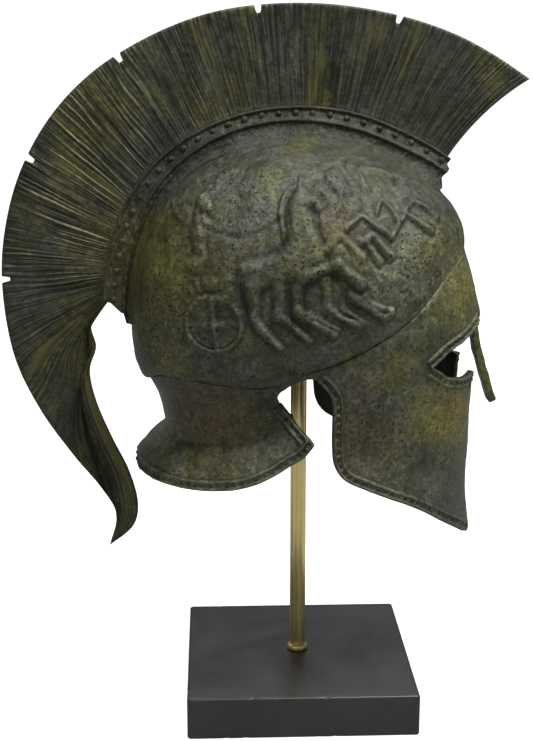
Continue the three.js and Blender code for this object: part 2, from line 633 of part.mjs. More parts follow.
// The crest, a thin plate of raised strands that is thickest at its root.
function crest() {
  const columns = 2 * CREST_RIBS;
  const ups = [0];
  const ridgeTop = GROOVE_DEPTH / (CREST_RADIUS - RIDGE_RADIUS);
  for (let i = 0; i <= CREST_ROWS; i += 1) ups.push(mix(ridgeTop, 1, i / CREST_ROWS));
  const rings = [];
  for (let j = 0; j <= columns; j += 1) {
    const along = j / columns;
    const points = ups.map((up) => crestPoint(along, up));
    const half = ups.map((up, i) => {
      const rib = i < 2 ? 0 : CREST_RIB * (j % 2);
      return mix(CREST_ROOT, CREST_EDGE, up) / 2 - rib;
    });
    const near = points.map((at, i) => new THREE.Vector3(at.x, -half[i], at.y));
    const far = points.map((at, i) => new THREE.Vector3(at.x, half[i], at.y)).reverse();
    rings.push([...near, ...far]);
  }
  const plate = loft(rings, (point) => new THREE.Vector2(point.y, point.z + point.x));
  const chips = NOTCHES.map((along) => {
    const edge = crestPoint(along, 1);
    const inner = crestPoint(along, 1 - NOTCH_DEPTH / (CREST_RADIUS - RIDGE_RADIUS));
    const beyond = edge.clone().multiplyScalar(2).sub(inner);
    return prism(ribbon([inner, beyond], NOTCH_WIDTH, 1), -CREST_ROOT, CREST_ROOT);
  });
  return plate.subtract(joined(chips));
}

// A cylinder standing along Z, centred on the origin.
function uprightCylinder(radius, height, sides) {
  const cylinder = new THREE.CylinderGeometry(radius, radius, height, sides);
  cylinder.rotateX(Math.PI / 2);
  return cylinder;
}

function base() {
  const half = BASE_SIDE / 2 - BASE_CHAMFER;
  const square = new THREE.Shape([[-half, -half], [half, -half], [half, half], [-half, half]]
    .map(([x, y]) => new THREE.Vector2(x, y)));
  const block = new THREE.ExtrudeGeometry(square, {
    depth: BASE_HEIGHT - 2 * BASE_CHAMFER,
    bevelThickness: BASE_CHAMFER,
    bevelSize: BASE_CHAMFER,
    bevelSegments: 1,
  });
  block.translate(0, 0, BASE_CHAMFER);
  const hole = uprightCylinder(ROD_DIAMETER / 2 + GAP, 2 * ROD_SEAT, 24);
  hole.translate(0, 0, BASE_HEIGHT);
  return solid(block).subtract(solid(hole));
}

function rod() {
  const low = BASE_HEIGHT - ROD_SEAT + GAP;
  const high = CROWN - WALL - 2 * GAP;
  const post = uprightCylinder(ROD_DIAMETER / 2, high - low, 24);
  post.translate(0, 0, (low + high) / 2);
  return solid(post);
}

function rodRing() {
  const outer = uprightCylinder(ROD_RING_DIAMETER / 2, ROD_RING_HEIGHT, 20);
  const inner = uprightCylinder(ROD_DIAMETER / 2 + GAP, 2 * ROD_RING_HEIGHT, 20);
  [outer, inner].forEach((shape) => shape.translate(0, 0, BASE_HEIGHT + GAP + ROD_RING_HEIGHT / 2));
  return solid(outer).subtract(solid(inner));
}

const stand = new THREE.Group();
stand.add(
  piece('base', base(), MATERIALS.marble),
  piece('rod', rod(), MATERIALS.brass),
  piece('rod_ring', rodRing(), MATERIALS.brass),
);

const helmet = new THREE.Group();
helmet.add(
  piece('helmet_shell', helmetShell(), MATERIALS.bronze),
  piece('crest', crest(), MATERIALS.crestBronze),
);

const model = new THREE.Group();
model.add(stand, helmet);

export default model;
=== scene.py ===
"""Dresses a crested bronze helmet on its stand: cast relief, rims, the crest's hair, patina and marble."""
import math

import bpy
import numpy as np
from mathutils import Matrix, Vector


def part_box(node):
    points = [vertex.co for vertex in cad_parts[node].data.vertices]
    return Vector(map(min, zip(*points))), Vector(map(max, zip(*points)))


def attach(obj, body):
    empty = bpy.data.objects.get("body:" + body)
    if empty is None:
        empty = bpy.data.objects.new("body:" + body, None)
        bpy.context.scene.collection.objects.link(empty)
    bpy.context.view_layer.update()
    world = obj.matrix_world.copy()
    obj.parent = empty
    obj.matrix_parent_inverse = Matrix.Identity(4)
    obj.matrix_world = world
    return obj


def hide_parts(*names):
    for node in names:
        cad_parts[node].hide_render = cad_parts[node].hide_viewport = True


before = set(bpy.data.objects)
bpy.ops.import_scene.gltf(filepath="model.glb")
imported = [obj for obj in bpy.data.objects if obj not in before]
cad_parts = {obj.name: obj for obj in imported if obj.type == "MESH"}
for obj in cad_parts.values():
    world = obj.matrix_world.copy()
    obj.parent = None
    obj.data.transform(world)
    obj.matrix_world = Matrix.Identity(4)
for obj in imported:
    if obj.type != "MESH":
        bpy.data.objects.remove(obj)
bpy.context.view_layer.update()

bl_info = {
    "name": "Crested bronze helmet",
    "version": (1, 0, 0),
    "blender": (4, 5, 0),
    "location": "View3D > Sidebar > Helmet",
    "description": "Builds a crested bronze helmet with a raised chariot scene, its stand and a plain stage",
    "category": "Add Mesh",
}

# Millimetres from here on. X points out of the face, Z points up, and Y = 0 mirrors the helmet.
MM = 0.001
TAU = 2 * math.pi


def node_box(name):
    """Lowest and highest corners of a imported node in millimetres."""
    low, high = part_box(name)
    return np.array(low) / MM, np.array(high) / MM


BASE_LOW, BASE_HIGH = node_box("base")
ROD_LOW, ROD_HIGH = node_box("rod")
RING_LOW, RING_HIGH = node_box("rod_ring")

# The helmet's sizes, with the cheek tips' height as its foot. They repeat the solids', but for the nose
# bar, which is drawn 1 mm thicker here.
BASE_TOP = BASE_HIGH[2]
FOOT = BASE_TOP + 95
HEIGHT = 255
CROWN = FOOT + HEIGHT
BOWL_BACK = 109
BOWL_FRONT = 105
BOWL_SIDE = 90
BROW = 118
LENGTH = BOWL_BACK + BOWL_FRONT
WALL = 2.8
# Powers of the superellipses in plan, over the crease and over the dome.
ROUNDNESS = 2.2
SWELL_ROUNDNESS = 2.2
DOME_ROUNDNESS = 2.3
# Lower end of the wall's grid: its height share at the back, its drop in front, where that starts, and
# over what length it comes.
GRID_FOOT, GRID_DROP, DROP_START, DROP_RUN = 0.145, 0.172, 0.047, 0.374
BOWL_LEVELS = (0.97, 2.985)
CREASE_TUCK = 1.6
# The scene starts this far from the middle plane and rises to its full height over this width.
SCENE_START, SCENE_FADE = 18, 14
BULGE_SIDE = 32
BULGE_BACK = 39
BULGE_FRONT = 5
FLARE_BACK = 19.5
FLARE_SIDE = 15
FLARE_HEIGHT_BACK = 21
FLARE_HEIGHT_SIDE = 28
FACE_GAP = 50
NOSE_WIDTH = 16
NOSE_THICKNESS = 4.8
NOSE_SQUARENESS = 0.22
BLOCK_EDGE = 1.6
ROD_DIP = 6
RIDGE_RISE = 20
RIDGE_FOOT = 22
RIDGE_SHELF = 14.5
RIDGE_TOP = 10.5
STUD_RADIUS = 2.15
STUD_PITCH = 10
STUD_RISE = 1.5
GROOVE_DEPTH = 5
GAP = 0.3
CREST_RADIUS = 198
CREST_ROOT = 5.4
CREST_EDGE = 3.0
CREST_RUN = 680
HAIR_RISE = 0.85
FRONT_SAG = 4.4
NOTCH_WIDTH = 3.4
NOTCH_DEPTH = 4.5
CENTRE = np.array([-0.025 * LENGTH, CROWN - 0.455 * HEIGHT])
RIDGE_RADIUS = CROWN - CENTRE[1] + RIDGE_RISE

# Height as a share over the cheek tips, then back, neck side, cheek side and front as shares.
WALL_SECTIONS = np.array([
    [-0.10, 0.80, 0.80, 0.84, 1.00],
    [0.00, 0.80, 0.80, 0.87, 0.982],
    [0.10, 0.80, 0.80, 0.90, 0.955],
    [0.26, 0.805, 0.80, 0.92, 0.955],
    [0.36, 0.85, 0.83, 0.93, 0.962],
    [0.42, 0.92, 0.88, 0.935, 0.968],
    [0.47, 0.95, 0.935, 0.935, 0.98],
    [0.53, 0.95, 0.935, 0.935, 1.00],
    [0.62, 0.95, 0.935, 0.93, 0.96],
    [0.735, 0.95, 0.93, 0.91, 0.889],
    [0.90, 0.95, 0.93, 0.91, 0.80],
])
# The crease under the bowl's bulge and the neck guard's rim, as x and height shares.
CREASE = np.array([
    [-0.50, 0.405], [-0.45, 0.433], [-0.375, 0.440], [-0.28, 0.437], [-0.09, 0.441], [0.00, 0.475],
    [0.08, 0.498], [0.18, 0.541], [0.29, 0.604], [0.40, 0.688], [0.50, 0.737],
])
NECK_RIM = np.array([
    [-0.51, 0.176], [-0.42, 0.175], [-0.27, 0.182], [-0.205, 0.191], [-0.15, 0.206], [-0.094, 0.2305],
    [-0.05, 0.255], [0.00, 0.286], [0.016, 0.3055],
])
EAR_NOTCH = [
    (0.016, 0.3055), (-0.037, 0.350), (-0.075, 0.390), (-0.081, 0.415), (-0.057, 0.437), (-0.012, 0.459),
    (0.031, 0.458), (0.058, 0.435), (0.076, 0.405),
]
CHEEK_BACK = [(0.076, 0.405), (0.078, 0.350), (0.079, 0.290), (0.086, 0.245), (0.113, 0.210)]
CHEEK_FOOT = [
    (0.113, 0.210), (0.175, 0.182), (0.236, 0.157), (0.30, 0.131), (0.36, 0.101), (0.416, 0.067),
    (0.47, 0.033), (0.505, 0.008), (0.54, 0.001),
]
BROW_EDGE = [(0.360, 0.469), (0.411, 0.502), (0.458, 0.522), (0.495, 0.539), (0.523, 0.556), (0.60, 0.590)]
EYE_FOOT = [
    (0.60, 0.420), (0.514, 0.4205), (0.486, 0.4175), (0.453, 0.4235), (0.416, 0.434), (0.388, 0.453),
    (0.360, 0.469),
]
# The nose bar from the brow down: x as a share of the brow, height, and width as a share of the bar's.
NOSE_SECTIONS = np.array([
    [0.955, 0.630, 1.50], [0.968, 0.585, 1.25], [0.980, 0.545, 1.00], [0.995, 0.500, 0.95],
    [1.018, 0.450, 0.95], [1.058, 0.388, 1.00], [1.104, 0.322, 1.05],
])
# The ridge under the crest, front to back: foot, shelf and top radius as shares of its radius.
RIDGE_SECTIONS = np.array([
    [0.900, 0.993, 1.055], [0.864, 0.951, 1.022], [0.842, 0.938, 1.009], [0.831, 0.934, 0.999],
    [0.844, 0.929, 0.994], [0.859, 0.916, 0.989], [0.837, 0.893, 0.979], [0.793, 0.849, 0.952],
    [0.759, 0.809, 0.912], [0.745, 0.783, 0.897],
])
RIDGE_LINES = ("foot", "shelf", "top")
RIDGE_ANGLES = {"foot": (42.3, 180.0), "shelf": (44.3, 177.0), "top": (45.8, 173.5)}
# Strands of the crest, front to tail: root as a share of the ridge's run, tip as x and z shares, and the
# share of the tail's inner edge that the strand follows.
STRANDS = np.array([
    [0.00, 0.758, 0.766, 0], [0.05, 0.641, 0.841, 0], [0.11, 0.510, 0.907, 0], [0.19, 0.338, 0.962, 0],
    [0.28, 0.126, 0.996, 0], [0.38, -0.086, 0.996, 0], [0.47, -0.278, 0.964, 0], [0.56, -0.465, 0.890, 0],
    [0.66, -0.636, 0.783, 0], [0.75, -0.773, 0.641, 0], [0.83, -0.874, 0.462, 0], [0.90, -0.929, 0.263, 0],
    [0.95, -0.939, 0.076, 0.04], [0.98, -0.909, -0.131, 0.13], [0.99, -0.833, -0.308, 0.28],
    [0.994, -0.729, -0.467, 0.44], [0.997, -0.641, -0.581, 0.57], [0.999, -0.590, -0.680, 0.72],
    [1.00, -0.615, -0.790, 1.00],
])
TAIL_EDGE = np.array([
    [-0.615, 0.066], [-0.678, -0.022], [-0.663, -0.100], [-0.683, -0.180], [-0.661, -0.285],
    [-0.608, -0.412], [-0.552, -0.527], [-0.522, -0.640], [-0.538, -0.722], [-0.615, -0.790],
])
NOTCHES = (0.166, 0.284, 0.416, 0.537, 0.651)

# The raised scene as x and height shares. Bodies: rise in millimetres, then the closed outline.
BODIES = [
    (3.4, [(-0.197, 0.726), (-0.186, 0.735), (-0.159, 0.745), (-0.126, 0.750), (-0.104, 0.757),
        (-0.082, 0.766), (-0.066, 0.784), (-0.065, 0.808), (-0.062, 0.840), (-0.055, 0.864),
        (-0.043, 0.885), (-0.023, 0.904), (-0.007, 0.902), (0.017, 0.890), (0.039, 0.877), (0.052, 0.862),
        (0.043, 0.852), (0.024, 0.850), (0.010, 0.857), (0.012, 0.843), (0.022, 0.815), (0.035, 0.791),
        (0.043, 0.767), (0.051, 0.746), (0.040, 0.726), (0.018, 0.711), (-0.012, 0.695), (-0.048, 0.693),
        (-0.080, 0.688), (-0.108, 0.683), (-0.129, 0.669), (-0.159, 0.664), (-0.181, 0.677),
        (-0.192, 0.701)]),
    (3.2, [(-0.178, 0.695), (-0.159, 0.709), (-0.132, 0.710), (-0.116, 0.694), (-0.127, 0.669),
        (-0.138, 0.646), (-0.162, 0.645), (-0.173, 0.668)]),
    (2.1, [(0.055, 0.935), (0.082, 0.945), (0.106, 0.934), (0.118, 0.917), (0.128, 0.898), (0.115, 0.886),
        (0.095, 0.880), (0.079, 0.889), (0.066, 0.902), (0.050, 0.912)]),
    (1.2, [(0.027, 0.915), (0.049, 0.910), (0.068, 0.897), (0.081, 0.878), (0.090, 0.851), (0.097, 0.825),
        (0.105, 0.799), (0.082, 0.784), (0.057, 0.769), (0.041, 0.784), (0.031, 0.813), (0.029, 0.843),
        (0.054, 0.853), (0.052, 0.866), (0.036, 0.883), (0.015, 0.898)]),
    (1.6, [(0.068, 0.784), (0.102, 0.794), (0.129, 0.780), (0.154, 0.760), (0.165, 0.733), (0.162, 0.703),
        (0.143, 0.677), (0.115, 0.671), (0.089, 0.690), (0.070, 0.719), (0.054, 0.742), (0.054, 0.769)]),
    (1.9, [(0.117, 0.957), (0.143, 0.954), (0.155, 0.942), (0.166, 0.922), (0.180, 0.896), (0.170, 0.886),
        (0.153, 0.891), (0.140, 0.908), (0.125, 0.921), (0.110, 0.938)]),
    (1.0, [(0.109, 0.934), (0.127, 0.915), (0.142, 0.896), (0.152, 0.879), (0.153, 0.859), (0.140, 0.841),
        (0.117, 0.824), (0.100, 0.820), (0.093, 0.846), (0.086, 0.874), (0.118, 0.884), (0.131, 0.900),
        (0.121, 0.917)]),
    (2.0, [(-0.326, 0.821), (-0.312, 0.837), (-0.292, 0.845), (-0.273, 0.835), (-0.267, 0.818),
        (-0.279, 0.800), (-0.284, 0.778), (-0.285, 0.758), (-0.310, 0.752), (-0.321, 0.771),
        (-0.326, 0.795)]),
    (1.8, [(-0.312, 0.754), (-0.282, 0.758), (-0.282, 0.736), (-0.293, 0.710), (-0.327, 0.707),
        (-0.341, 0.727), (-0.327, 0.744)]),
    (0.9, [(-0.370, 0.865), (-0.349, 0.866), (-0.329, 0.854), (-0.318, 0.836), (-0.326, 0.816),
        (-0.346, 0.821), (-0.363, 0.836), (-0.373, 0.851)]),
]
# Limbs, rails and mane: rise, width at the start and width at the end in millimetres, then the line.
LIMBS = [
    (1.2, 2.6, 0.8, [(-0.022, 0.898), (-0.019, 0.912), (-0.017, 0.926)]),
    (1.0, 2.5, 2.0, [(-0.026, 0.908), (-0.048, 0.898), (-0.063, 0.883), (-0.072, 0.864), (-0.075, 0.847),
        (-0.073, 0.827), (-0.068, 0.808), (-0.068, 0.790)]),
    (3.8, 9.0, 7.0, [(-0.015, 0.709), (0.010, 0.713), (0.040, 0.724), (0.076, 0.735)]),
    (4.0, 8.0, 8.5, [(0.079, 0.737), (0.098, 0.721), (0.123, 0.702), (0.140, 0.690)]),
    (2.6, 5.5, 6.0, [(0.049, 0.769), (0.068, 0.784), (0.088, 0.797), (0.110, 0.781), (0.129, 0.765),
        (0.146, 0.749)]),
    (2.2, 4.5, 5.0, [(0.161, 0.788), (0.178, 0.796), (0.195, 0.782), (0.211, 0.766), (0.231, 0.750)]),
    (1.9, 4.5, 4.5, [(0.138, 0.787), (0.155, 0.782), (0.171, 0.768), (0.185, 0.752), (0.199, 0.738)]),
    (2.0, 3.8, 4.2, [(0.105, 0.814), (0.125, 0.826), (0.149, 0.840), (0.168, 0.829), (0.190, 0.815),
        (0.213, 0.806), (0.233, 0.792)]),
    (2.0, 3.2, 4.0, [(0.233, 0.792), (0.248, 0.810), (0.264, 0.827), (0.280, 0.837), (0.303, 0.827),
        (0.327, 0.812), (0.354, 0.797)]),
    (1.7, 3.0, 3.6, [(0.192, 0.845), (0.199, 0.860), (0.209, 0.870), (0.226, 0.859), (0.239, 0.845),
        (0.253, 0.830)]),
    (1.8, 3.0, 3.8, [(0.275, 0.844), (0.288, 0.856), (0.305, 0.865), (0.326, 0.855), (0.350, 0.844),
        (0.374, 0.825)]),
    (0.8, 1.6, 1.6, [(0.263, 0.870), (0.279, 0.875), (0.295, 0.876), (0.312, 0.869)]),
    (1.4, 4.0, 3.6, [(0.161, 0.940), (0.181, 0.937), (0.208, 0.934), (0.231, 0.927), (0.247, 0.916)]),
    (0.8, 1.6, 1.4, [(0.212, 0.909), (0.233, 0.892), (0.251, 0.872), (0.260, 0.846)]),
    (0.8, 1.6, 1.6, [(0.188, 0.700), (0.202, 0.688), (0.222, 0.673)]),
    (2.8, 9.5, 4.5, [(-0.157, 0.673), (-0.149, 0.641), (-0.149, 0.613), (-0.127, 0.585), (-0.099, 0.560),
        (-0.077, 0.541)]),
    (2.0, 11.0, 7.0, [(-0.080, 0.686), (-0.080, 0.654), (-0.083, 0.619)]),
    (2.1, 6.0, 4.5, [(-0.089, 0.621), (-0.061, 0.605), (-0.031, 0.584), (0.002, 0.560)]),
    (2.2, 10.0, 7.0, [(-0.031, 0.688), (-0.031, 0.656), (-0.031, 0.626)]),
    (2.4, 6.0, 5.0, [(-0.034, 0.631), (-0.006, 0.614), (0.032, 0.593), (0.072, 0.573)]),
    (1.6, 2.6, 3.0, [(-0.001, 0.628), (0.024, 0.612), (0.052, 0.597), (0.085, 0.584)]),
    (1.5, 7.0, 6.0, [(0.045, 0.702), (0.051, 0.667), (0.051, 0.637)]),
    (2.2, 5.0, 5.5, [(0.054, 0.635), (0.082, 0.618), (0.110, 0.605), (0.144, 0.592)]),
    (1.7, 3.0, 3.6, [(0.090, 0.636), (0.115, 0.621), (0.138, 0.609), (0.164, 0.593)]),
    (2.4, 6.5, 5.0, [(0.120, 0.666), (0.146, 0.646), (0.174, 0.631), (0.213, 0.609), (0.233, 0.615)]),
    (2.0, 4.0, 4.5, [(0.154, 0.662), (0.174, 0.645), (0.200, 0.632), (0.233, 0.622)]),
    (1.0, 1.4, 1.4, [(-0.341, 0.692), (-0.313, 0.693), (-0.283, 0.699), (-0.252, 0.697), (-0.216, 0.705)]),
    (1.0, 1.4, 1.4, [(-0.341, 0.683), (-0.313, 0.684), (-0.283, 0.692), (-0.252, 0.690), (-0.216, 0.700)]),
    (1.0, 1.4, 1.4, [(-0.341, 0.674), (-0.313, 0.676), (-0.283, 0.684), (-0.252, 0.684), (-0.217, 0.695)]),
    (1.0, 1.4, 1.4, [(-0.342, 0.665), (-0.314, 0.668), (-0.283, 0.676), (-0.252, 0.677), (-0.217, 0.690)]),
    (1.2, 2.4, 2.2, [(-0.225, 0.698), (-0.206, 0.701), (-0.187, 0.690)]),
    (1.5, 2.6, 2.2, [(-0.284, 0.826), (-0.265, 0.816), (-0.245, 0.806)]),
    (1.4, 2.4, 1.8, [(-0.309, 0.841), (-0.289, 0.857), (-0.272, 0.867)]),
    (1.1, 1.7, 1.7, [(-0.370, 0.867), (-0.373, 0.851), (-0.360, 0.832), (-0.343, 0.821), (-0.323, 0.812)]),
]
# Incised reins, folds and muscles: depth and width in millimetres, then the line.
CUTS = [
    (1.1, 1.9, [(-0.262, 0.814), (-0.243, 0.802), (-0.213, 0.796), (-0.172, 0.795), (-0.141, 0.805),
        (-0.106, 0.820), (-0.073, 0.836)]),
    (0.5, 1.2, [(-0.304, 0.752), (-0.318, 0.731), (-0.327, 0.712)]),
    (0.5, 1.2, [(-0.293, 0.753), (-0.304, 0.730), (-0.310, 0.711)]),
    (0.5, 1.6, [(-0.001, 0.849), (0.001, 0.828), (0.011, 0.806), (0.022, 0.784), (0.029, 0.764)]),
    (0.5, 1.3, [(-0.007, 0.896), (-0.011, 0.881), (-0.003, 0.868), (0.010, 0.860)]),
    (0.5, 1.0, [(0.052, 0.860), (0.035, 0.864), (0.024, 0.862)]),
    (0.7, 1.8, [(-0.156, 0.709), (-0.126, 0.703), (-0.097, 0.699), (-0.075, 0.702)]),
    (0.6, 1.8, [(-0.014, 0.756), (-0.025, 0.738), (-0.020, 0.720)]),
    (0.6, 1.6, [(-0.189, 0.722), (-0.206, 0.687), (-0.192, 0.653), (-0.179, 0.635)]),
    (0.7, 1.6, [(0.049, 0.771), (0.068, 0.785), (0.088, 0.797), (0.110, 0.782)]),
    (0.45, 1.1, [(0.062, 0.928), (0.085, 0.925), (0.104, 0.906)]),
    (0.45, 1.1, [(0.088, 0.892), (0.103, 0.896), (0.116, 0.894)]),
    (0.45, 1.1, [(0.050, 0.902), (0.066, 0.884), (0.076, 0.858), (0.082, 0.828)]),
    (0.45, 1.1, [(0.121, 0.944), (0.142, 0.936), (0.156, 0.914)]),
    (0.45, 1.1, [(0.096, 0.862), (0.108, 0.848), (0.118, 0.838)]),
    (0.45, 1.1, [(-0.100, 0.748), (-0.096, 0.728), (-0.086, 0.708)]),
    (0.45, 1.1, [(-0.052, 0.846), (-0.046, 0.812), (-0.036, 0.782)]),
    (0.45, 1.1, [(-0.318, 0.826), (-0.304, 0.796), (-0.300, 0.762)]),
    (0.45, 1.1, [(-0.296, 0.838), (-0.288, 0.806), (-0.292, 0.770)]),
    (0.45, 1.1, [(0.092, 0.784), (0.112, 0.760), (0.120, 0.730)]),
]
# Millimetres from a body's outline to its full rise, and the ditch round every form.
BODY_SHOULDER = 7.0
DITCH_DEPTH = 0.35
THINNEST_LIMB = 2.7
FAR_OFF = 99.0
HEAD = {"x": -0.286, "height": 0.864, "radius": 4.6, "rise": 2.2}
EYE = {"x": 0.003, "height": 0.881, "radius": 1.1, "rise": 0.5}
WHEEL = {
    "x": -0.260, "height": 0.591, "radius": 17.6, "rise": 2.0, "rim": 0.16, "hub": 0.19, "spokes": 4,
    "turn": 7,
}
# Fields of corrosion pits: x and height share, and spread in millimetres.
PIT_FIELDS = [
    {"x": -0.217, "height": 0.865, "spread": 22}, {"x": 0.293, "height": 0.712, "spread": 17},
    {"x": -0.001, "height": 0.742, "spread": 9}, {"x": 0.05, "height": 0.88, "spread": 12},
    {"x": -0.40, "height": 0.62, "spread": 14}, {"x": 0.20, "height": 0.36, "spread": 20},
    {"x": 0.42, "height": 0.35, "spread": 7},
]
# Stains and a painted sheen: the looks' colour, place as x and height shares, and radius and strength. The
# sheen colour paints highlights on the bowl and, low on the neck and cheeks, pale grey-green patina patches.
STAINS = [
    {"colour": "olive", "x": -0.419, "height": 0.71, "radius": 46, "strength": 0.85},
    {"colour": "olive", "x": 0.435, "height": 0.648, "radius": 40, "strength": 0.95},
    {"colour": "olive", "x": 0.400, "height": 0.355, "radius": 30, "strength": 0.8},
    {"colour": "rust", "x": 0.445, "height": 0.335, "radius": 20, "strength": 0.7},
    {"colour": "pale_patina_and_sheen", "x": -0.340, "height": 0.215, "radius": 38, "strength": 0.85},
    {"colour": "pale_patina_and_sheen", "x": -0.120, "height": 0.235, "radius": 30, "strength": 0.75},
    {"colour": "pale_patina_and_sheen", "x": 0.160, "height": 0.220, "radius": 28, "strength": 0.70},
    {"colour": "pale_patina_and_sheen", "x": 0.330, "height": 0.150, "radius": 30, "strength": 0.65},
    {"colour": "pale_patina_and_sheen", "x": -0.230, "height": 0.860, "radius": 34, "strength": 0.25},
    {"colour": "brown", "x": -0.258, "height": 0.341, "radius": 46, "strength": 0.6},
    {"colour": "brown", "x": 0.150, "height": 0.300, "radius": 44, "strength": 0.5},
    {"colour": "brown", "x": 0.084, "height": 0.829, "radius": 20, "strength": 0.6},
    # Painted highlight: the sheen where light falls on the bowl's right side.
    {"colour": "pale_patina_and_sheen", "x": 0.290, "height": 0.680, "radius": 46, "strength": 0.95},
]

SEED = 11


# Number helpers.
def smooth(t):
    """Eases from 0 to 1 with flat ends."""
    t = np.clip(t, 0, 1)
    return t * t * (3 - 2 * t)


def bump(d, width):
    """Bell curve of a distance."""
    return np.exp(-((d / width) ** 2))


def look_up(table, column, at):
    """Smooth value of a table's column, by cubic pieces with central slopes, keyed by its first column."""
    x, y = table[:, 0], table[:, column]
    slopes = np.gradient(y, x)
    at = np.clip(at, x[0], x[-1])
    i = np.clip(np.searchsorted(x, at) - 1, 0, len(x) - 2)
    step = x[i + 1] - x[i]
    t = (at - x[i]) / step
    ease = t * t * (3 - 2 * t)
    start = t * (1 - t) ** 2 * step * slopes[i]
    end = t * t * (t - 1) * step * slopes[i + 1]
    return y[i] + (y[i + 1] - y[i]) * ease + start + end


def look_along(rows, t):
    """Points of a smooth curve through evenly spaced rows, t from 0 to 1."""
    rows = np.asarray(rows, float)
    keys = np.linspace(0, 1, len(rows))
    table = np.column_stack([keys, rows])
    return np.stack([look_up(table, c + 1, t) for c in range(rows.shape[1])], -1)


def side_view(rows):
    """Shares to millimetres in the side view."""
    rows = np.asarray(rows, float)
    return np.column_stack([rows[:, 0] * LENGTH, FOOT + rows[:, 1] * HEIGHT])


def even_curve(rows, count):
    """Points at even distances along a smooth curve through rows."""
    fine = look_along(rows, np.linspace(0, 1, 40 * len(rows)))
    run = run_along(fine)
    at = np.linspace(0, run[-1], count)
    return np.column_stack([np.interp(at, run, fine[:, c]) for c in range(fine.shape[1])])


def unit(vectors):
    """Vectors brought to length 1."""
    return vectors / np.maximum(np.linalg.norm(vectors, axis=-1), 1e-9)[..., None]


def run_along(path):
    """Length of a path up to each of its points."""
    return np.concatenate([[0], np.cumsum(np.linalg.norm(np.diff(path, axis=0), axis=1))])


def whole_turn(count):
    """Even angles once round."""
    return np.linspace(0, TAU, count + 1)[:-1]


def ripple(points, size, seed, waves=18):
    """Smooth noise between about -1 and 1: a sum of sine waves in random directions."""
    rng = np.random.default_rng(seed)
    direction = unit(rng.normal(size=(waves, 3)))
    pitch = TAU / (size * rng.uniform(0.6, 1.6, waves))
    phase = rng.uniform(0, TAU, waves)
    total = np.zeros(points.shape[:-1])
    for d, p, f in zip(direction, pitch, phase):
        total += np.sin(points @ d * p + f)
    return total / math.sqrt(waves / 2)


def line_distance(at, line):
    """Distance from each place to a polyline, and how far along it the nearest point lies, 0 to 1."""
    best = np.full(len(at), np.inf)
    along = np.zeros(len(at))
    count = len(line) - 1
    for i in range(count):
        a, b = line[i], line[i + 1]
        ab = b - a
        t = np.clip(((at - a) @ ab) / (ab @ ab), 0, 1)
        d = np.linalg.norm(at - a - t[:, None] * ab, axis=1)
        nearer = d < best
        best = np.where(nearer, d, best)
        along = np.where(nearer, (i + t) / count, along)
    return best, along


def inside_distance(at, outline):
    """Distance to a closed outline, positive inside it."""
    closed = np.vstack([outline, outline[:1]])
    d, _ = line_distance(at, closed)
    a, b = closed[:-1], closed[1:]
    inside = np.zeros(len(at), bool)
    for (ax, az), (bx, bz) in zip(a, b):
        if az == bz:
            continue
        crosses = (az > at[:, 1]) != (bz > at[:, 1])
        where = ax + (at[:, 1] - az) / (bz - az) * (bx - ax)
        inside ^= crosses & (at[:, 0] < where)
    return np.where(inside, d, -d)


# Meshes.
def grid_faces(rows, columns, wrap=False, start=0):
    """Quads of a grid of rows and columns whose vertices are numbered row by row."""
    r = np.arange(rows - 1)[:, None] * columns
    c = np.arange(columns if wrap else columns - 1)[None, :]
    n = (c + 1) % columns
    quads = np.stack([r + c, r + n, r + columns + n, r + columns + c], -1)
    return quads.reshape(-1, 4) + start


def new_piece(name, shape, material, replaced):
    """Puts a shape's millimetre points, faces and point values into a mesh object, with its material, slot
    and frame ties."""
    points, faces, values = shape
    mesh = bpy.data.meshes.new(name)
    points = np.asarray(points, np.float32).reshape(-1, 3) * MM
    mesh.vertices.add(len(points))
    mesh.vertices.foreach_set("co", points.ravel())
    sizes = np.concatenate([np.full(len(f), f.shape[1]) for f in faces])
    corners = np.concatenate([f.ravel() for f in faces])
    mesh.loops.add(len(corners))
    mesh.loops.foreach_set("vertex_index", corners.astype(np.int32))
    mesh.polygons.add(len(sizes))
    starts = np.concatenate([[0], np.cumsum(sizes)[:-1]])
    mesh.polygons.foreach_set("loop_start", starts.astype(np.int32))
    mesh.update(calc_edges=True)
    mesh.polygons.foreach_set("use_smooth", np.full(len(sizes), True))
    for key, value in values.items():
        layer = mesh.attributes.new(key, "FLOAT", "POINT")
        layer.data.foreach_set("value", np.asarray(value, np.float32).ravel())
    mesh.validate()
    piece = bpy.data.objects.new(name, mesh)
    bpy.context.scene.collection.objects.link(piece)
    mesh.materials.append(material)
    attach(piece, "root")
    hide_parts(replaced)


def outward(faces, points):
    """Faces turned so that the closed body they bound has a positive volume."""
    points = np.asarray(points, float).reshape(-1, 3)
    total = 0.0
    for f in faces:
        for k in range(1, f.shape[1] - 1):
            a, b, c = points[f[:, 0]], points[f[:, k]], points[f[:, k + 1]]
            total += np.einsum("ij,ij->i", a, np.cross(b, c)).sum()
    return faces if total > 0 else [f[:, ::-1] for f in faces]


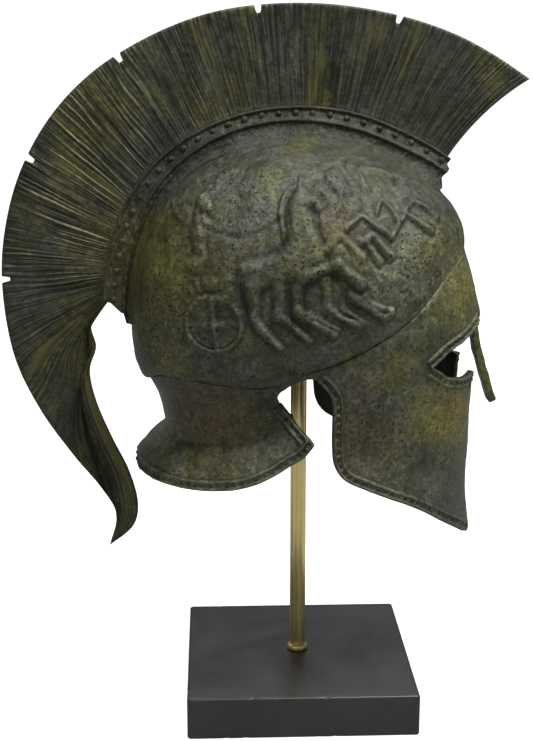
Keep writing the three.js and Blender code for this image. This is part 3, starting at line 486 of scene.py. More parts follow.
def thick_sheet(outer, inner, step):
    """Closes a fine grid with a coarser grid behind it. Both borders are joined by fans of triangles, each
    coarse corner taking the step fine edges nearest to it."""
    rows, columns = outer.shape[:2]
    coarse = inner[::step, ::step]
    low_rows, low_columns = coarse.shape[:2]
    start = rows * columns

    def border(r, c, first):
        top = np.arange(c - 1)
        right = (np.arange(r - 1)) * c + c - 1
        bottom = (r - 1) * c + np.arange(c - 1, 0, -1)
        left = np.arange(r - 1, 0, -1) * c
        return np.concatenate([top, right, bottom, left]) + first

    fine = border(rows, columns, 0)
    thin = border(low_rows, low_columns, start)
    i = np.arange(len(fine))
    owner = ((i + step // 2) // step) % len(thin)
    fans = np.stack([fine[(i + 1) % len(fine)], fine[i], thin[owner]], -1)
    j = np.arange(len(thin))
    turn = (j * step + step - step // 2) % len(fine)
    fills = np.stack([thin[j], thin[(j + 1) % len(thin)], fine[turn]], -1)
    points = np.vstack([outer.reshape(-1, 3), coarse.reshape(-1, 3)])
    back = grid_faces(low_rows, low_columns, start=start)[:, ::-1]
    faces = [np.vstack([grid_faces(rows, columns), back]), np.vstack([fans, fills])]
    return points, outward(faces, points)


def tube(rings):
    """Skins closed rings one to the next and fills each end with a fan round its middle."""
    count, size = rings.shape[:2]
    points = np.vstack([rings.reshape(-1, 3), rings[0].mean(0), rings[-1].mean(0)])
    faces = grid_faces(count, size, wrap=True)
    i = np.arange(size)
    n = (i + 1) % size
    last = (count - 1) * size
    first_cap = np.stack([n, i, np.full(size, count * size)], -1)
    last_cap = np.stack([last + i, last + n, np.full(size, count * size + 1)], -1)
    return points, outward([faces, np.vstack([first_cap, last_cap])], points)


def plate(rings):
    """Skins closed rings one to the next and fills each end with a strip between its near and far halves,
    whose points are numbered out and back."""
    count, size = rings.shape[:2]
    points = rings.reshape(-1, 3)
    i = np.arange(size // 2 - 1)
    strip = np.stack([i, i + 1, size - 2 - i, size - 1 - i], -1)
    last = (count - 1) * size
    quads = np.vstack([grid_faces(count, size, wrap=True), strip[:, ::-1], strip + last])
    return points, outward([quads], points)


def grid_normals(grid):
    """Unit normals of a grid from its differences along rows and columns."""
    across = np.gradient(grid, axis=1)
    up = np.gradient(grid, axis=0)
    return unit(np.cross(across, up))


# The helmet's surface.
def oval(angle, front, back, side):
    """Plan section: x and y are the sine and cosine each raised to 2 / roundness, times the half axes."""
    c, s = np.cos(angle), np.sin(angle)
    x = np.where(c > 0, front, back) * np.sign(c) * np.abs(c) ** (2 / ROUNDNESS)
    y = side * np.sign(s) * np.abs(s) ** (2 / ROUNDNESS)
    return np.stack([x, y], -1)


def share_at(angle):
    """The x share of the length at an angle round the bowl."""
    return oval(angle, BOWL_FRONT, BOWL_BACK, BOWL_SIDE)[..., 0] / LENGTH


def rim_height(share):
    """Height of the neck guard's rim at an x share."""
    return FOOT + HEIGHT * look_up(NECK_RIM, 1, share)


def wall_at(angle, z):
    """The wall of neck and cheeks: sections by height, plus a bell-shaped flare above the neck rim that
    fades out on the cheeks."""
    share = share_at(angle)
    height = (z - FOOT) / HEIGHT
    cheek = smooth((share + 0.02) / 0.12)
    rear = np.clip(-np.cos(angle), 0, 1) ** 2
    reach = FLARE_HEIGHT_SIDE + (FLARE_HEIGHT_BACK - FLARE_HEIGHT_SIDE) * rear
    near = np.clip(1 - (z - rim_height(share)) / reach, 0, 1)
    flare = (1 - (1 - near) ** (1.7 + 0.8 * rear)) * (1 - cheek)
    neck = look_up(WALL_SECTIONS, 2, height)
    side = neck + (look_up(WALL_SECTIONS, 3, height) - neck) * cheek
    front = BROW * look_up(WALL_SECTIONS, 4, height)
    back = BOWL_BACK * look_up(WALL_SECTIONS, 1, height) + FLARE_BACK * flare
    return oval(angle, front, back, BOWL_SIDE * side + FLARE_SIDE * flare)


def surface(angle, level):
    """The outer surface. Level runs from 0 at the foot to 1 at the crease, 2 at the widest and 3 at the
    crown: wall sections, then a quarter round out to the widest oval, then a superellipse dome."""
    angle, level = np.broadcast_arrays(angle, level)
    share = share_at(angle)
    rear = np.clip(-np.cos(angle), 0, 1)
    fore = np.clip(np.cos(angle), 0, 1)
    crease = FOOT + HEIGHT * look_up(CREASE, 1, share)
    foot = FOOT + HEIGHT * (GRID_FOOT - GRID_DROP * smooth((share - DROP_START) / DROP_RUN))
    z_wall = foot + (crease - foot) * np.minimum(level, 1.05)
    wall = wall_at(angle, z_wall)
    bulge = BULGE_SIDE + (BULGE_BACK - BULGE_SIDE) * rear - (BULGE_SIDE - BULGE_FRONT) * fore ** 1.5
    widest = oval(angle, BOWL_FRONT, BOWL_BACK, BOWL_SIDE)
    grow = (1 - np.clip(2 - level, 0, 1) ** SWELL_ROUNDNESS) ** (1 / SWELL_ROUNDNESS)
    at_crease = wall_at(angle, crease)
    swell = at_crease + (widest - at_crease) * grow[..., None]
    z_swell = crease + bulge * np.clip(level - 1, 0, 1)
    turn = np.clip(level - 2, 0, 1) * math.pi / 2
    power = 2 / (DOME_ROUNDNESS + 0.05 * rear - 0.5 * fore)
    dome = widest * (np.cos(turn) ** power)[..., None]
    z_dome = crease + bulge + (CROWN - crease - bulge) * np.sin(turn) ** power
    low, mid = level <= 1, level <= 2
    plan = np.where(low[..., None], wall, np.where(mid[..., None], swell, dome))
    z = np.where(low, z_wall, np.where(mid, z_swell, z_dome))
    return np.dstack([plan, z]) if plan.ndim == 3 else np.column_stack([plan, z])


def relief(at):
    """Height of the raised scene at side view places: bodies swell in from their outlines, limbs are
    half-round strokes, cuts are grooves, and a faint ditch runs round every form."""
    rise = np.zeros(len(at))
    edge = np.full(len(at), FAR_OFF)
    for high, rows in BODIES:
        outline = even_curve(side_view(rows + rows[:1]), 100)[:-1]
        d = inside_distance(at, outline)
        swell = high * (1 - (1 - np.clip(d / BODY_SHOULDER, 0, 1)) ** 2.4)
        rise = np.maximum(rise, swell) + 0.15 * np.minimum(rise, swell)
        edge = np.minimum(edge, np.abs(d) + np.where(d > 0, FAR_OFF, 0))
    for high, start, end, line in LIMBS:
        d, along = line_distance(at, even_curve(side_view(line), 28))
        joint = 0.80 + 0.34 * np.abs(2 * along - 1) ** 1.6
        half = (start + (end - start) * along) / 2 * (joint if start > THINNEST_LIMB else 1)
        stroke = high * np.clip(1 - (d / half) ** 2, 0, 1) ** 0.8
        rise = np.maximum(rise, stroke) + 0.25 * np.minimum(rise, stroke)
        edge = np.minimum(edge, np.abs(d - half) + np.where(d < half, FAR_OFF, 0))
    for ball in (HEAD, EYE):
        centre = side_view([(ball["x"], ball["height"])])[0]
        d = np.linalg.norm(at - centre, axis=1)
        dome = ball["rise"] * np.sqrt(np.clip(1 - (d / ball["radius"]) ** 2, 0, 1))
        rise = np.maximum(rise, dome) + 0.4 * np.minimum(rise, dome)
    rise = np.maximum(rise, wheel_rise(at))
    for depth, width, line in CUTS:
        d, _ = line_distance(at, even_curve(side_view(line), 20))
        rise = rise - depth * bump(d, width / 2)
    return rise - DITCH_DEPTH * bump(edge - 1.0, 1.3) * (edge < 9)


def wheel_rise(at):
    """The wheel: a half-round rim, a low line inside it, a hub and half-round spokes."""
    centre = side_view([(WHEEL["x"], WHEEL["height"])])[0]
    out = at - centre
    r = np.linalg.norm(out, axis=1)
    turn = np.arctan2(out[:, 1], out[:, 0])
    radius = WHEEL["radius"]
    half = radius * WHEEL["rim"] / 2
    rim = np.sqrt(np.clip(1 - ((r - radius + half) / half) ** 2, 0, 1))
    inner = 0.4 * bump(r - radius + 2 * half + 1.2, 0.7)
    hub = 1.2 * np.sqrt(np.clip(1 - (r / (radius * WHEEL["hub"])) ** 2, 0, 1))
    pitch = TAU / WHEEL["spokes"]
    off = (turn - math.radians(WHEEL["turn"]) + pitch / 2) % pitch - pitch / 2
    spoke = 0.8 * bump(r * np.sin(off), 1.2) * (r < radius)
    return WHEEL["rise"] * np.maximum.reduce([rim, inner, hub, spoke])


def pitted(at):
    """How thickly corrosion pits are strewn at side view places, 0 to 1: the fields' bell curves."""
    total = np.zeros(len(at))
    for field in PIT_FIELDS:
        middle = side_view([(field["x"], field["height"])])[0]
        total += bump(np.linalg.norm(at - middle, axis=1), field["spread"])
    return np.clip(total, 0, 1)


def pits(at, seed):
    """Depth of the larger corrosion pits: small round dimples strewn in the fields over the side view."""
    rng = np.random.default_rng(seed)
    depth = np.zeros(len(at))
    for field in PIT_FIELDS:
        middle = side_view([(field["x"], field["height"])])[0]
        for place in rng.normal(middle, 0.7 * field["spread"], (int(3.2 * field["spread"]), 2)):
            radius = rng.uniform(0.7, 1.2)
            near = np.abs(at - place).max(axis=1) < 3 * radius
            d = np.linalg.norm(at[near] - place, axis=1)
            depth[near] = np.maximum(depth[near], rng.uniform(0.3, 0.8) * bump(d, radius))
    return depth


def hollowness(height_map):
    """How far each grid place stands above its neighbours: the height less a blurred copy of itself."""
    soft = height_map.copy()
    for _ in range(3):
        for axis in (0, 1):
            pad = [(2, 2) if a == axis else (0, 0) for a in (0, 1)]
            wide = np.pad(soft, pad, mode="edge")
            size = soft.shape[axis]
            soft = sum(np.take(wide, range(k, k + size), axis=axis) for k in range(5)) / 5
    return height_map - soft


def bowl_half(side, columns=417, rows=201):
    """One half of the bowl over the crease, with its scene: a fine grid pushed out along its normals."""
    spread = np.linspace(0, 1, columns)
    angle = math.pi * spread
    low, high = BOWL_LEVELS
    level = low + (high - low) * np.linspace(0, 1, rows)
    grid = surface(angle[None, :], level[:, None])
    normals = grid_normals(grid)
    flat = grid.reshape(-1, 3)
    view = flat[:, [0, 2]]
    rise = relief(view) * smooth((flat[:, 1] - SCENE_START) / SCENE_FADE)
    dents = 0.35 * ripple(flat, 22, SEED) + 0.16 * ripple(flat, 7, SEED + 1)
    dents += 0.07 * ripple(flat, 3, SEED + 2)
    pitting = pits(view, SEED + 5)
    height = (rise + 0.55 * dents - pitting).reshape(rows, columns)
    tuck = CREASE_TUCK * (1 - smooth((level - 0.97) / 0.05))[:, None]
    outer = grid + normals * (height - tuck)[..., None]
    inner = grid - normals * WALL
    outer[:, [0, -1], 1] = 0
    inner[:, [0, -1], 1] = 0
    if side < 0:
        outer, inner = outer * [1, -1, 1], inner * [1, -1, 1]
    points, faces = thick_sheet(outer, inner, 8)
    extra = len(points) - rows * columns
    # Wear value from the height: raised places get a pale mark, partly wear and partly painted highlight;
    # hollows get painted shade.
    wear_and_shade = np.concatenate([hollowness(height).ravel(), np.zeros(extra)])
    # Inner faces are marked for painted shade.
    inner_face = np.concatenate([np.zeros(rows * columns), np.ones(extra)])
    return points, faces, {"wear_and_shade": wear_and_shade, "pitted": pitted(points[:, [0, 2]]), "inner": inner_face}


def trimmed_depth(points):
    """Distance inside the metal of the wall in the side view, less than 0 where it is cut away: under the
    rims, in the ear notches, in the eyes and between the cheeks."""
    view = points[:, [0, 2]]
    rim = side_view(NECK_RIM)
    parts = [rim] + [even_curve(side_view(rows), 60) for rows in (EAR_NOTCH, CHEEK_BACK, CHEEK_FOOT)]
    far = 400.0
    loop = np.vstack([[-far, rim[0, 1]]] + parts + [[far, FOOT], [far, -far], [-far, -far]])
    under = inside_distance(view, loop)
    eye_rows = [even_curve(side_view(BROW_EDGE), 50), even_curve(side_view(EYE_FOOT), 50)[:-1]]
    eye = inside_distance(view, np.vstack(eye_rows))
    across, below = FACE_GAP / 2 - np.abs(points[:, 1]), FOOT + 0.44 * HEIGHT - points[:, 2]
    slot = np.minimum.reduce([across, below, points[:, 0] - 20])
    return -np.maximum.reduce([under, eye, slot])


def at_level(turn, lift):
    """Places on the surface at angles and levels."""
    return surface(turn[None, :], lift[None, :])[0]


def step_to_outline(turn, lift, cell_turn, cell_lift):
    """Moves grid places on to the wall's outline by Newton steps, each kept shorter than the grid's cells."""
    nudge = 1e-3
    for _ in range(4):
        d = trimmed_depth(at_level(turn, lift))
        by_turn = (trimmed_depth(at_level(turn + nudge, lift)) - d) / nudge
        by_lift = (trimmed_depth(at_level(turn, lift + nudge)) - d) / nudge
        slope = by_turn ** 2 * cell_turn ** 2 + by_lift ** 2 * cell_lift ** 2 + 1e-9
        turn = turn - np.clip(d * by_turn * cell_turn ** 2 / slope, -0.03, 0.03)
        lift = np.clip(lift - np.clip(d * by_lift * cell_lift ** 2 / slope, -0.02, 0.02), 0, 1)
    return turn, lift


def wall(columns=480, rows=105):
    """Neck guard, cheeks and brow. Grid places just outside the outline are moved on to it, whole quads
    outside are dropped, and a copy moved in by the wall's thickness closes the body."""
    angle = whole_turn(columns) + TAU / 2
    level = np.linspace(0.0, 1.0, rows)
    turn, lift = np.meshgrid(angle, level)
    turn, lift = turn.ravel(), lift.ravel()
    solid = trimmed_depth(at_level(turn, lift)).reshape(rows, columns) > 0
    near = np.zeros_like(solid)
    for dr in (-1, 0, 1):
        for dc in (-1, 0, 1):
            near |= np.roll(np.roll(solid, dr, 0), dc, 1)
    border = (near & ~solid).ravel()
    turn[border], lift[border] = step_to_outline(turn[border], lift[border], angle[1] - angle[0],
                                                 level[1] - level[0])
    step = 2e-3
    grid = at_level(turn, lift)
    across = at_level(turn + step, lift) - at_level(turn - step, lift)
    up = at_level(turn, np.minimum(lift + step, 1)) - at_level(turn, np.maximum(lift - step, 0))
    normals = unit(np.cross(across, up))
    dents = 0.30 * ripple(grid, 24, SEED + 7) + 0.10 * ripple(grid, 7, SEED + 8)
    height = 0.5 * dents - 0.7 * pits(grid[:, [0, 2]], SEED + 9)
    outer = grid + normals * height[:, None]
    inner = grid - normals * WALL
    quads = grid_faces(rows, columns, wrap=True)
    keep = solid.ravel()[quads].any(axis=1) & (solid.ravel() | border)[quads].all(axis=1)
    quads = quads[keep]
    used, quads = np.unique(quads, return_inverse=True)
    quads = quads.reshape(-1, 4)
    count = len(used)
    edges = np.vstack([quads[:, [k, (k + 1) % 4]] for k in range(4)])
    key = np.sort(edges, axis=1)
    _, first, seen = np.unique(key, axis=0, return_index=True, return_counts=True)
    rim = edges[first[seen == 1]]
    sides = np.stack([rim[:, 1], rim[:, 0], rim[:, 0] + count, rim[:, 1] + count], -1)
    points = np.vstack([outer[used], inner[used]])
    faces = outward([np.vstack([quads, quads[:, ::-1] + count, sides])], points)
    # Wear value from the height: raised places get a pale mark, partly wear and partly painted highlight;
    # hollows get painted shade.
    wear_and_shade = np.concatenate([hollowness(height.reshape(rows, columns)).ravel()[used], np.zeros(count)])
    # Inner faces are marked for painted shade.
    inner_face = np.repeat([0.0, 1.0], count)
    return points, faces, {"wear_and_shade": wear_and_shade, "pitted": pitted(points[:, [0, 2]]), "inner": inner_face}


# Rims along the edges.
RIM_PROFILE = np.array([
    [0.2, -3.4], [-0.7, -3.3], [-1.0, -2.4], [-1.0, -0.6], [-0.8, 0.8], [-0.2, 1.5], [0.6, 1.5], [1.1, 1.0],
    [1.4, 0.3], [2.0, 0.0], [2.7, 0.0], [3.4, 0.2], [3.8, 0.9], [4.3, 1.4], [4.9, 1.3], [5.4, 0.6],
    [5.9, -0.1], [6.1, -0.9], [3.0, -1.2], [0.9, -1.6],
])
DOT_PITCH = 5.2


def wall_place(view, side):
    """The wall's angle over a side view place: x gives the angle by undoing the oval, a few times over
    because the half axes depend on the angle too."""
    x, z = view[:, 0], view[:, 1]
    angle = np.where(x > 0, 0.6, 2.6) * np.ones(len(x))
    for _ in range(25):
        full = np.abs(wall_at(angle, z)[:, 0]) / np.maximum(np.abs(np.cos(angle)), 1e-4) ** (2 / ROUNDNESS)
        reach = np.clip(np.abs(x) / full, 0, 1) ** (ROUNDNESS / 2)
        target = np.arccos(np.clip(np.sign(x) * reach, -1, 1))
        angle = angle + 0.6 * (target - angle)
    return angle * side


def rim_sweep(path, normals, inward, seed):
    """Carries the rim's profile along an edge: across the rim it follows the wall, and small round rivets
    stand in its groove at an even pitch."""
    run = run_along(path)
    size = len(RIM_PROFILE)
    b, n = RIM_PROFILE[:, 0], RIM_PROFILE[:, 1]
    across = path[:, None, :] + inward[:, None, :] * b[None, :, None]
    off = (run[:, None] + DOT_PITCH / 2) % DOT_PITCH - DOT_PITCH / 2
    rivet = 1.3 * np.exp(-((off / 1.2) ** 2) - (((b[None, :] - 2.4) / 0.9) ** 2)) * (n > -0.5)
    worn = 1 + 0.18 * ripple(path, 9, seed)[:, None] * (n > 0)
    rings = across + normals[:, None, :] * (n[None, :] * worn + rivet)[..., None]
    points, faces = tube(rings)
    # Wear value from the profile's height: the beads and rivets paler, partly wear and partly painted
    # highlight, the low parts painted shade.
    wear_and_shade = 0.9 * (np.clip(n + rivet, -0.5, 1.5) - 0.55)
    return points, faces, {"wear_and_shade": np.concatenate([wear_and_shade.ravel(), [0, 0]])}


def side_rim(rows, side, count):
    """Path, normals and inward directions of a rim along a side view curve."""
    view = even_curve(side_view(rows), count)
    angle = wall_place(view, side)
    plan = wall_at(angle, view[:, 1])
    path = np.column_stack([plan, view[:, 1]])
    step = 0.004
    ahead = np.column_stack([wall_at(angle + step, view[:, 1]), view[:, 1]])
    above = np.column_stack([wall_at(angle, view[:, 1] + 0.5), view[:, 1] + 0.5])
    normals = unit(np.cross(ahead - path, above - path))
    along = unit(np.gradient(path, axis=0))
    inward = -side * np.cross(normals, along)
    return path, normals, inward


def neck_rim(count=900):
    """Path, normals and inward directions of the neck guard's rim, from one front corner round the back to
    the other."""
    angles = np.linspace(2.2, 1.2, 400)
    start = float(np.interp(NECK_RIM[-1, 0], share_at(angles), angles))
    angle = np.linspace(start, TAU - start, count)
    z = rim_height(share_at(angle))
    path = np.column_stack([wall_at(angle, z), z])
    above = np.column_stack([wall_at(angle, z + 1.0), z + 1.0])
    along = unit(np.gradient(path, axis=0))
    inward = above - path
    inward = unit(inward - along * np.einsum("ij,ij->i", inward, along)[:, None])
    normals = np.cross(along, inward)
    outside = np.einsum("ij,ij->i", normals[:, :2], path[:, :2])
    normals *= np.sign(outside)[:, None]
    return path, normals, inward


# The ridge and its studs.
def ridge_line(line, t, lift, y):
    """One line of the ridge, by angle and radius round the crest's centre."""
    start, end = RIDGE_ANGLES[line]
    angle = np.radians(start + (end - start) * t)
    table = np.column_stack([np.linspace(0, 1, len(RIDGE_SECTIONS)), RIDGE_SECTIONS])
    radius = RIDGE_RADIUS * look_up(table, 1 + RIDGE_LINES.index(line), t) + lift
    x = CENTRE[0] + radius * np.cos(angle)
    z = CENTRE[1] + radius * np.sin(angle)
    return np.stack([x, np.broadcast_to(y, x.shape), z], -1)


# Line, lift along it, half width, and wear value of each edge from the ridge's foot to the groove's floor:
# above 0 a pale mark that is partly wear and partly painted highlight, below 0 painted shade.
RIDGE_PROFILE = [
    ("foot", -5.0, RIDGE_FOOT - 1, 0), ("foot", -2.5, RIDGE_FOOT + 1, 0),
    ("foot", -0.6, RIDGE_FOOT + 1.2, 0), ("foot", 0.6, RIDGE_FOOT, 0.1), ("foot", 2.2, RIDGE_FOOT - 2.2, 0),
    ("foot", 4.6, RIDGE_FOOT - 4.2, 0), ("shelf", -6.0, RIDGE_SHELF + 1.8, 0),
    ("shelf", -4.5, RIDGE_SHELF + 1.1, 0), ("shelf", -3.0, RIDGE_SHELF + 0.7, 0),
    ("shelf", -1.6, RIDGE_SHELF + 0.4, 0), ("shelf", -0.7, RIDGE_SHELF + 0.5, 0.2),
    ("shelf", -0.1, RIDGE_SHELF + 1.2, 0.6), ("shelf", 0.7, RIDGE_SHELF + 1.3, 0.6),
    ("shelf", 1.4, RIDGE_SHELF + 0.6, 0.2), ("shelf", 1.9, RIDGE_SHELF - 0.8, -0.3),
    ("shelf", 3.0, RIDGE_SHELF - 1.3, -0.3), ("top", -4.0, RIDGE_TOP + 1.6, -0.3),
    ("top", -2.6, RIDGE_TOP + 1.0, -0.2), ("top", -1.9, RIDGE_TOP + 1.2, 0.1),
    ("top", -1.2, RIDGE_TOP + 2.0, 0.6), ("top", -0.4, RIDGE_TOP + 2.0, 0.6),
    ("top", 0.0, RIDGE_TOP + 1.2, 0.4), ("top", 0.1, RIDGE_TOP - 2.0, 0), ("top", -0.2, 4.0, -0.3),
    ("top", -0.3, CREST_ROOT / 2 + 0.4, -0.6), ("top", -3.0, CREST_ROOT / 2 + 0.1, -0.8),
]
ZIGZAG_PITCH = 6.4


def ridge(count=560):
    """The ridge: its profile's lines swept front to back, mirrored, with a zigzag cut under the studs."""
    t = np.linspace(0, 1, count)
    run = RIDGE_RADIUS * math.radians(RIDGE_ANGLES["shelf"][1] - RIDGE_ANGLES["shelf"][0]) * t
    near = np.stack([ridge_line(line, t, lift, y) for line, lift, y, _ in RIDGE_PROFILE], 1)
    lifts = np.array([lift if line == "shelf" else FAR_OFF for line, lift, _, _ in RIDGE_PROFILE])
    saw = np.abs((run[:, None] / ZIGZAG_PITCH) % 1 - 0.5) * 2
    target = -5.6 + 4.2 * saw
    cut = bump(lifts[None, :] - target, 0.8) * (np.abs(lifts[None, :] + 3.5) < 3)
    shape = ripple(near, 5, SEED + 21) * 0.12 + ripple(near, 14, SEED + 22) * 0.18
    active = np.array([0 if line == "foot" and lift < 0 else 1 for line, lift, _, _ in RIDGE_PROFILE])
    near[..., 1] += active * shape - 0.5 * cut
    far = near[:, ::-1] * [1, -1, 1]
    rings = np.concatenate([near, far], axis=1)
    points, faces = tube(rings)
    edges = np.array([worn for _, _, _, worn in RIDGE_PROFILE])
    # Wear value of each edge, less painted shade in the zigzag cut.
    each = np.concatenate([edges, edges[::-1]])[None, :] - 0.5 * np.concatenate([cut, cut[:, ::-1]], 1)
    wear_and_shade = np.concatenate([0.6 * each.ravel(), [0, 0]])
    return points, faces, {"wear_and_shade": wear_and_shade}


def studs():
    """Low domes along the ridge's band: each a small grid of rings over its disc, closed by a flat back."""
    run = math.radians(RIDGE_ANGLES["top"][1] - RIDGE_ANGLES["top"][0]) * RIDGE_RADIUS * 0.95
    count = int(run // STUD_PITCH)
    t = (np.arange(count) + 0.5) / count
    low = ridge_line("shelf", t, 2, RIDGE_SHELF - 1.4)
    middle = low + 0.5 * (ridge_line("top", t, -1.8, RIDGE_TOP + 0.6) - low)
    rings, spokes = 6, 12
    tilt = np.linspace(0.06, math.pi / 2, rings)[:, None]
    turn = whole_turn(spokes)[None, :]
    dome = np.stack([
        STUD_RADIUS * np.sin(tilt) * np.cos(turn),
        STUD_RISE * np.cos(tilt) * np.ones_like(turn) + 0.3,
        STUD_RADIUS * np.sin(tilt) * np.sin(turn),
    ], -1)
    foot = dome[-1:] - [0, 1.4, 0]
    one = np.concatenate([dome, foot])
    points, quads, wedges = [], [], []
    rng = np.random.default_rng(SEED + 30)
    for side in (-1, 1):
        for place in middle:
            size = rng.uniform(0.85, 1.08)
            ring = one * [size, rng.uniform(0.8, 1.1), size] * [1, side, 1] + place * [1, side, 1]
            p, f = tube(ring)
            start = sum(len(q) for q in points)
            points.append(p)
            quads.append(f[0] + start)
            wedges.append(f[1] + start)
    # The studs get a pale mark, partly wear and partly painted highlight.
    wear_and_shade = np.full(sum(len(p) for p in points), 0.3)
    return np.vstack(points), [np.vstack(quads), np.vstack(wedges)], {"wear_and_shade": wear_and_shade}


# The crest.
def crest_place(along, up):
    """Side view of the crest. Each strand follows the tail's inner edge for its share and leaves it evenly
    for its own tip, and the foremost ones sag backwards."""
    strand = look_along(STRANDS, along)
    root = ridge_line("top", strand[..., 0], GAP - GROOVE_DEPTH, 0.0)[..., [0, 2]]
    share = np.maximum(0, strand[..., 3])
    bent = CREST_RADIUS * (look_along(TAIL_EDGE, share * up) - TAIL_EDGE[0])
    whole = CREST_RADIUS * (look_along(TAIL_EDGE, share) - TAIL_EDGE[0])
    way = CENTRE + CREST_RADIUS * strand[..., 1:3] - root
    sag = FRONT_SAG * 4 * up * (1 - up) * (1 - smooth(along / 0.12)) / np.linalg.norm(way, axis=-1)
    aside = np.stack([-way[..., 1], way[..., 0]], -1)
    return root + bent + (way - whole) * up[..., None] + aside * sag[..., None]


def hair(along, up):
    """Height of the strands: locks, strands and fine hairs as waves across the strands, whose phase drifts
    a little on the way out, and which swell and fade."""
    drift = 0.0011 * np.sin(up * 5 + along * 60) + 0.0006 * np.sin(up * 11 + along * 170)
    s = along + drift
    rng = np.random.default_rng(SEED + 40)
    total = np.zeros_like(s)
    for count, height in ((46, 0.34), (83, 0.30), (131, 0.30), (190, 0.24), (263, 0.16)):
        phase = rng.uniform(0, TAU)
        swing = 1.6 * np.sin(TAU * s * rng.uniform(5, 9) + phase) + 0.9 * np.sin(TAU * s * 17 + 2 * phase)
        fade = 0.62 + 0.38 * np.sin(TAU * (s * rng.uniform(9, 15) + up * rng.uniform(0.4, 1.1)) + phase)
        wave = np.sin(TAU * count * s + swing)
        total += height * fade * (1 - 2 * np.abs(wave) ** 0.8)
    return total


def crest_half(first, last, columns, rows=57):
    """A stretch of the crest: near and far faces of a plate that thins from root to edge, both with hair."""
    along = np.linspace(first, last, columns)
    up = np.linspace(0, 1, rows) ** 0.95
    a, u = np.meshgrid(along, up, indexing="ij")
    view = crest_place(a, u)
    edge_dip = sum(NOTCH_DEPTH * smooth((NOTCH_WIDTH / 2 + 0.5 - np.abs(a - n) * CREST_RUN)) for n in NOTCHES)
    reach = CREST_RADIUS - RIDGE_RADIUS
    nick = smooth((u - 1 + edge_dip / reach) / 0.05) * (edge_dip > 0.4)
    inner = crest_place(a, np.clip(u - edge_dip / reach * smooth((u - 0.7) / 0.3), 0, 1))
    view = np.where((edge_dip > 0.4)[..., None], inner, view)
    shown = smooth((u - 0.07) / 0.05)
    strands = hair(a, u) * shown * (0.55 + 0.45 * smooth(u / 0.35))
    half = (CREST_ROOT + (CREST_EDGE - CREST_ROOT) * u) / 2 + HAIR_RISE * strands - 0.25 * shown
    half = half * (1 - 0.55 * smooth((u - 0.975) / 0.025)) - 0.2 * nick
    near = np.stack([view[..., 0], -half, view[..., 1]], -1)
    far = np.stack([view[..., 0], half, view[..., 1]], -1)[:, ::-1]
    points, faces = plate(np.concatenate([near, far], axis=1))
    rough = np.concatenate([strands, strands[:, ::-1]], axis=1)
    fine = np.concatenate([a, a[:, ::-1]], axis=1)
    height = np.concatenate([u, u[:, ::-1]], axis=1)
    # The wear value follows the strands: raised lines paler, partly wear and partly painted highlight,
    # furrows painted shade.
    values = {
        "wear_and_shade": rough.ravel() * 1.1,
        "strand": fine.ravel(),
        "reach": height.ravel(),
    }
    return points, faces, values


def nose_bar(count=70, size=36):
    """The nose bar: rounded oblongs from its sections, skinned from inside the brow to a square end."""
    t = np.linspace(0, 1, count)
    row = look_along(NOSE_SECTIONS, t)
    turn = whole_turn(size)
    c, s = np.cos(turn), np.sin(turn)
    px = np.sign(c) * np.abs(c) ** NOSE_SQUARENESS
    py = np.sign(s) * np.abs(s) ** NOSE_SQUARENESS
    end = 1 - 0.16 * smooth((t - 0.985) / 0.015)
    x = BROW * row[:, :1] - NOSE_THICKNESS / 2 + NOSE_THICKNESS / 2 * px[None, :] * end[:, None]
    y = NOSE_WIDTH / 2 * row[:, 2:] * py[None, :] * end[:, None]
    z = np.broadcast_to(FOOT + HEIGHT * row[:, 1:2], x.shape) + 0.9 * px[None, :] * smooth(t * 3)[:, None]
    rings = np.stack([x, y, z], -1)
    rings = rings + 0.16 * ripple(rings, 9, SEED + 50)[..., None] * [1, 0.6, 0]
    points, faces = tube(rings)
    # The nose bar's corners get a pale mark, partly wear and partly painted highlight.
    wear_and_shade = np.concatenate([np.broadcast_to((np.abs(px * py) > 0.7) * 0.5, x.shape).ravel(), [0, 0]])
    return points, faces, {"wear_and_shade": wear_and_shade}


# The stand.
def slab(count=96):
    """The marble block: rounded squares stacked from underside to top, with worn and chipped arrises."""
    half = (BASE_HIGH[0] - BASE_LOW[0]) / 2
    height = BASE_HIGH[2] - BASE_LOW[2]
    edge = BLOCK_EDGE
    side = np.linspace(-1, 1, count, endpoint=False)
    square = np.vstack([
        np.column_stack([side, -np.ones(count)]), np.column_stack([np.ones(count), side]),
        np.column_stack([-side, np.ones(count)]), np.column_stack([-np.ones(count), -side]),
    ])
    corner = edge / half
    inner = np.clip(square, -1 + corner, 1 - corner)
    away = square - inner
    length = np.linalg.norm(away, axis=1)[:, None]
    square = inner + away / np.maximum(length, 1e-9) * np.minimum(length, corner)
    turn = np.linspace(0, math.pi / 2, 7)
    inset = np.concatenate([
        [40, 12, 4], edge * (1 - np.sin(turn)), [0, 0, 0], edge * (1 - np.cos(turn)), [4, 12, 40],
    ])
    z = np.concatenate([
        [0, 0, 0], edge * (1 - np.cos(turn)), [height * 0.3, height * 0.5, height * 0.7],
        height - edge * (1 - np.sin(turn)), [height, height, height],
    ])
    rings = np.stack([
        square[None, :, 0] * (half - inset[:, None]), square[None, :, 1] * (half - inset[:, None]),
        np.broadcast_to(z[:, None], (len(z), len(square))),
    ], -1)
    on_arris = bump(inset - 0.4, 0.9) * bump(np.minimum(z, height - z) - 0.4, 0.9)
    rng = np.random.default_rng(SEED + 60)
    chip = np.clip(ripple(rings, 5, SEED + 61) + 0.8 * ripple(rings, 15, SEED + 62) - 1.7, 0, 1.2)
    shrink = 0.8 * chip * on_arris[:, None] * rng.uniform(0.9, 1.1)
    middle = np.array([0, 0, height / 2])
    return (*tube(rings - unit(rings - middle) * shrink[..., None]), {})


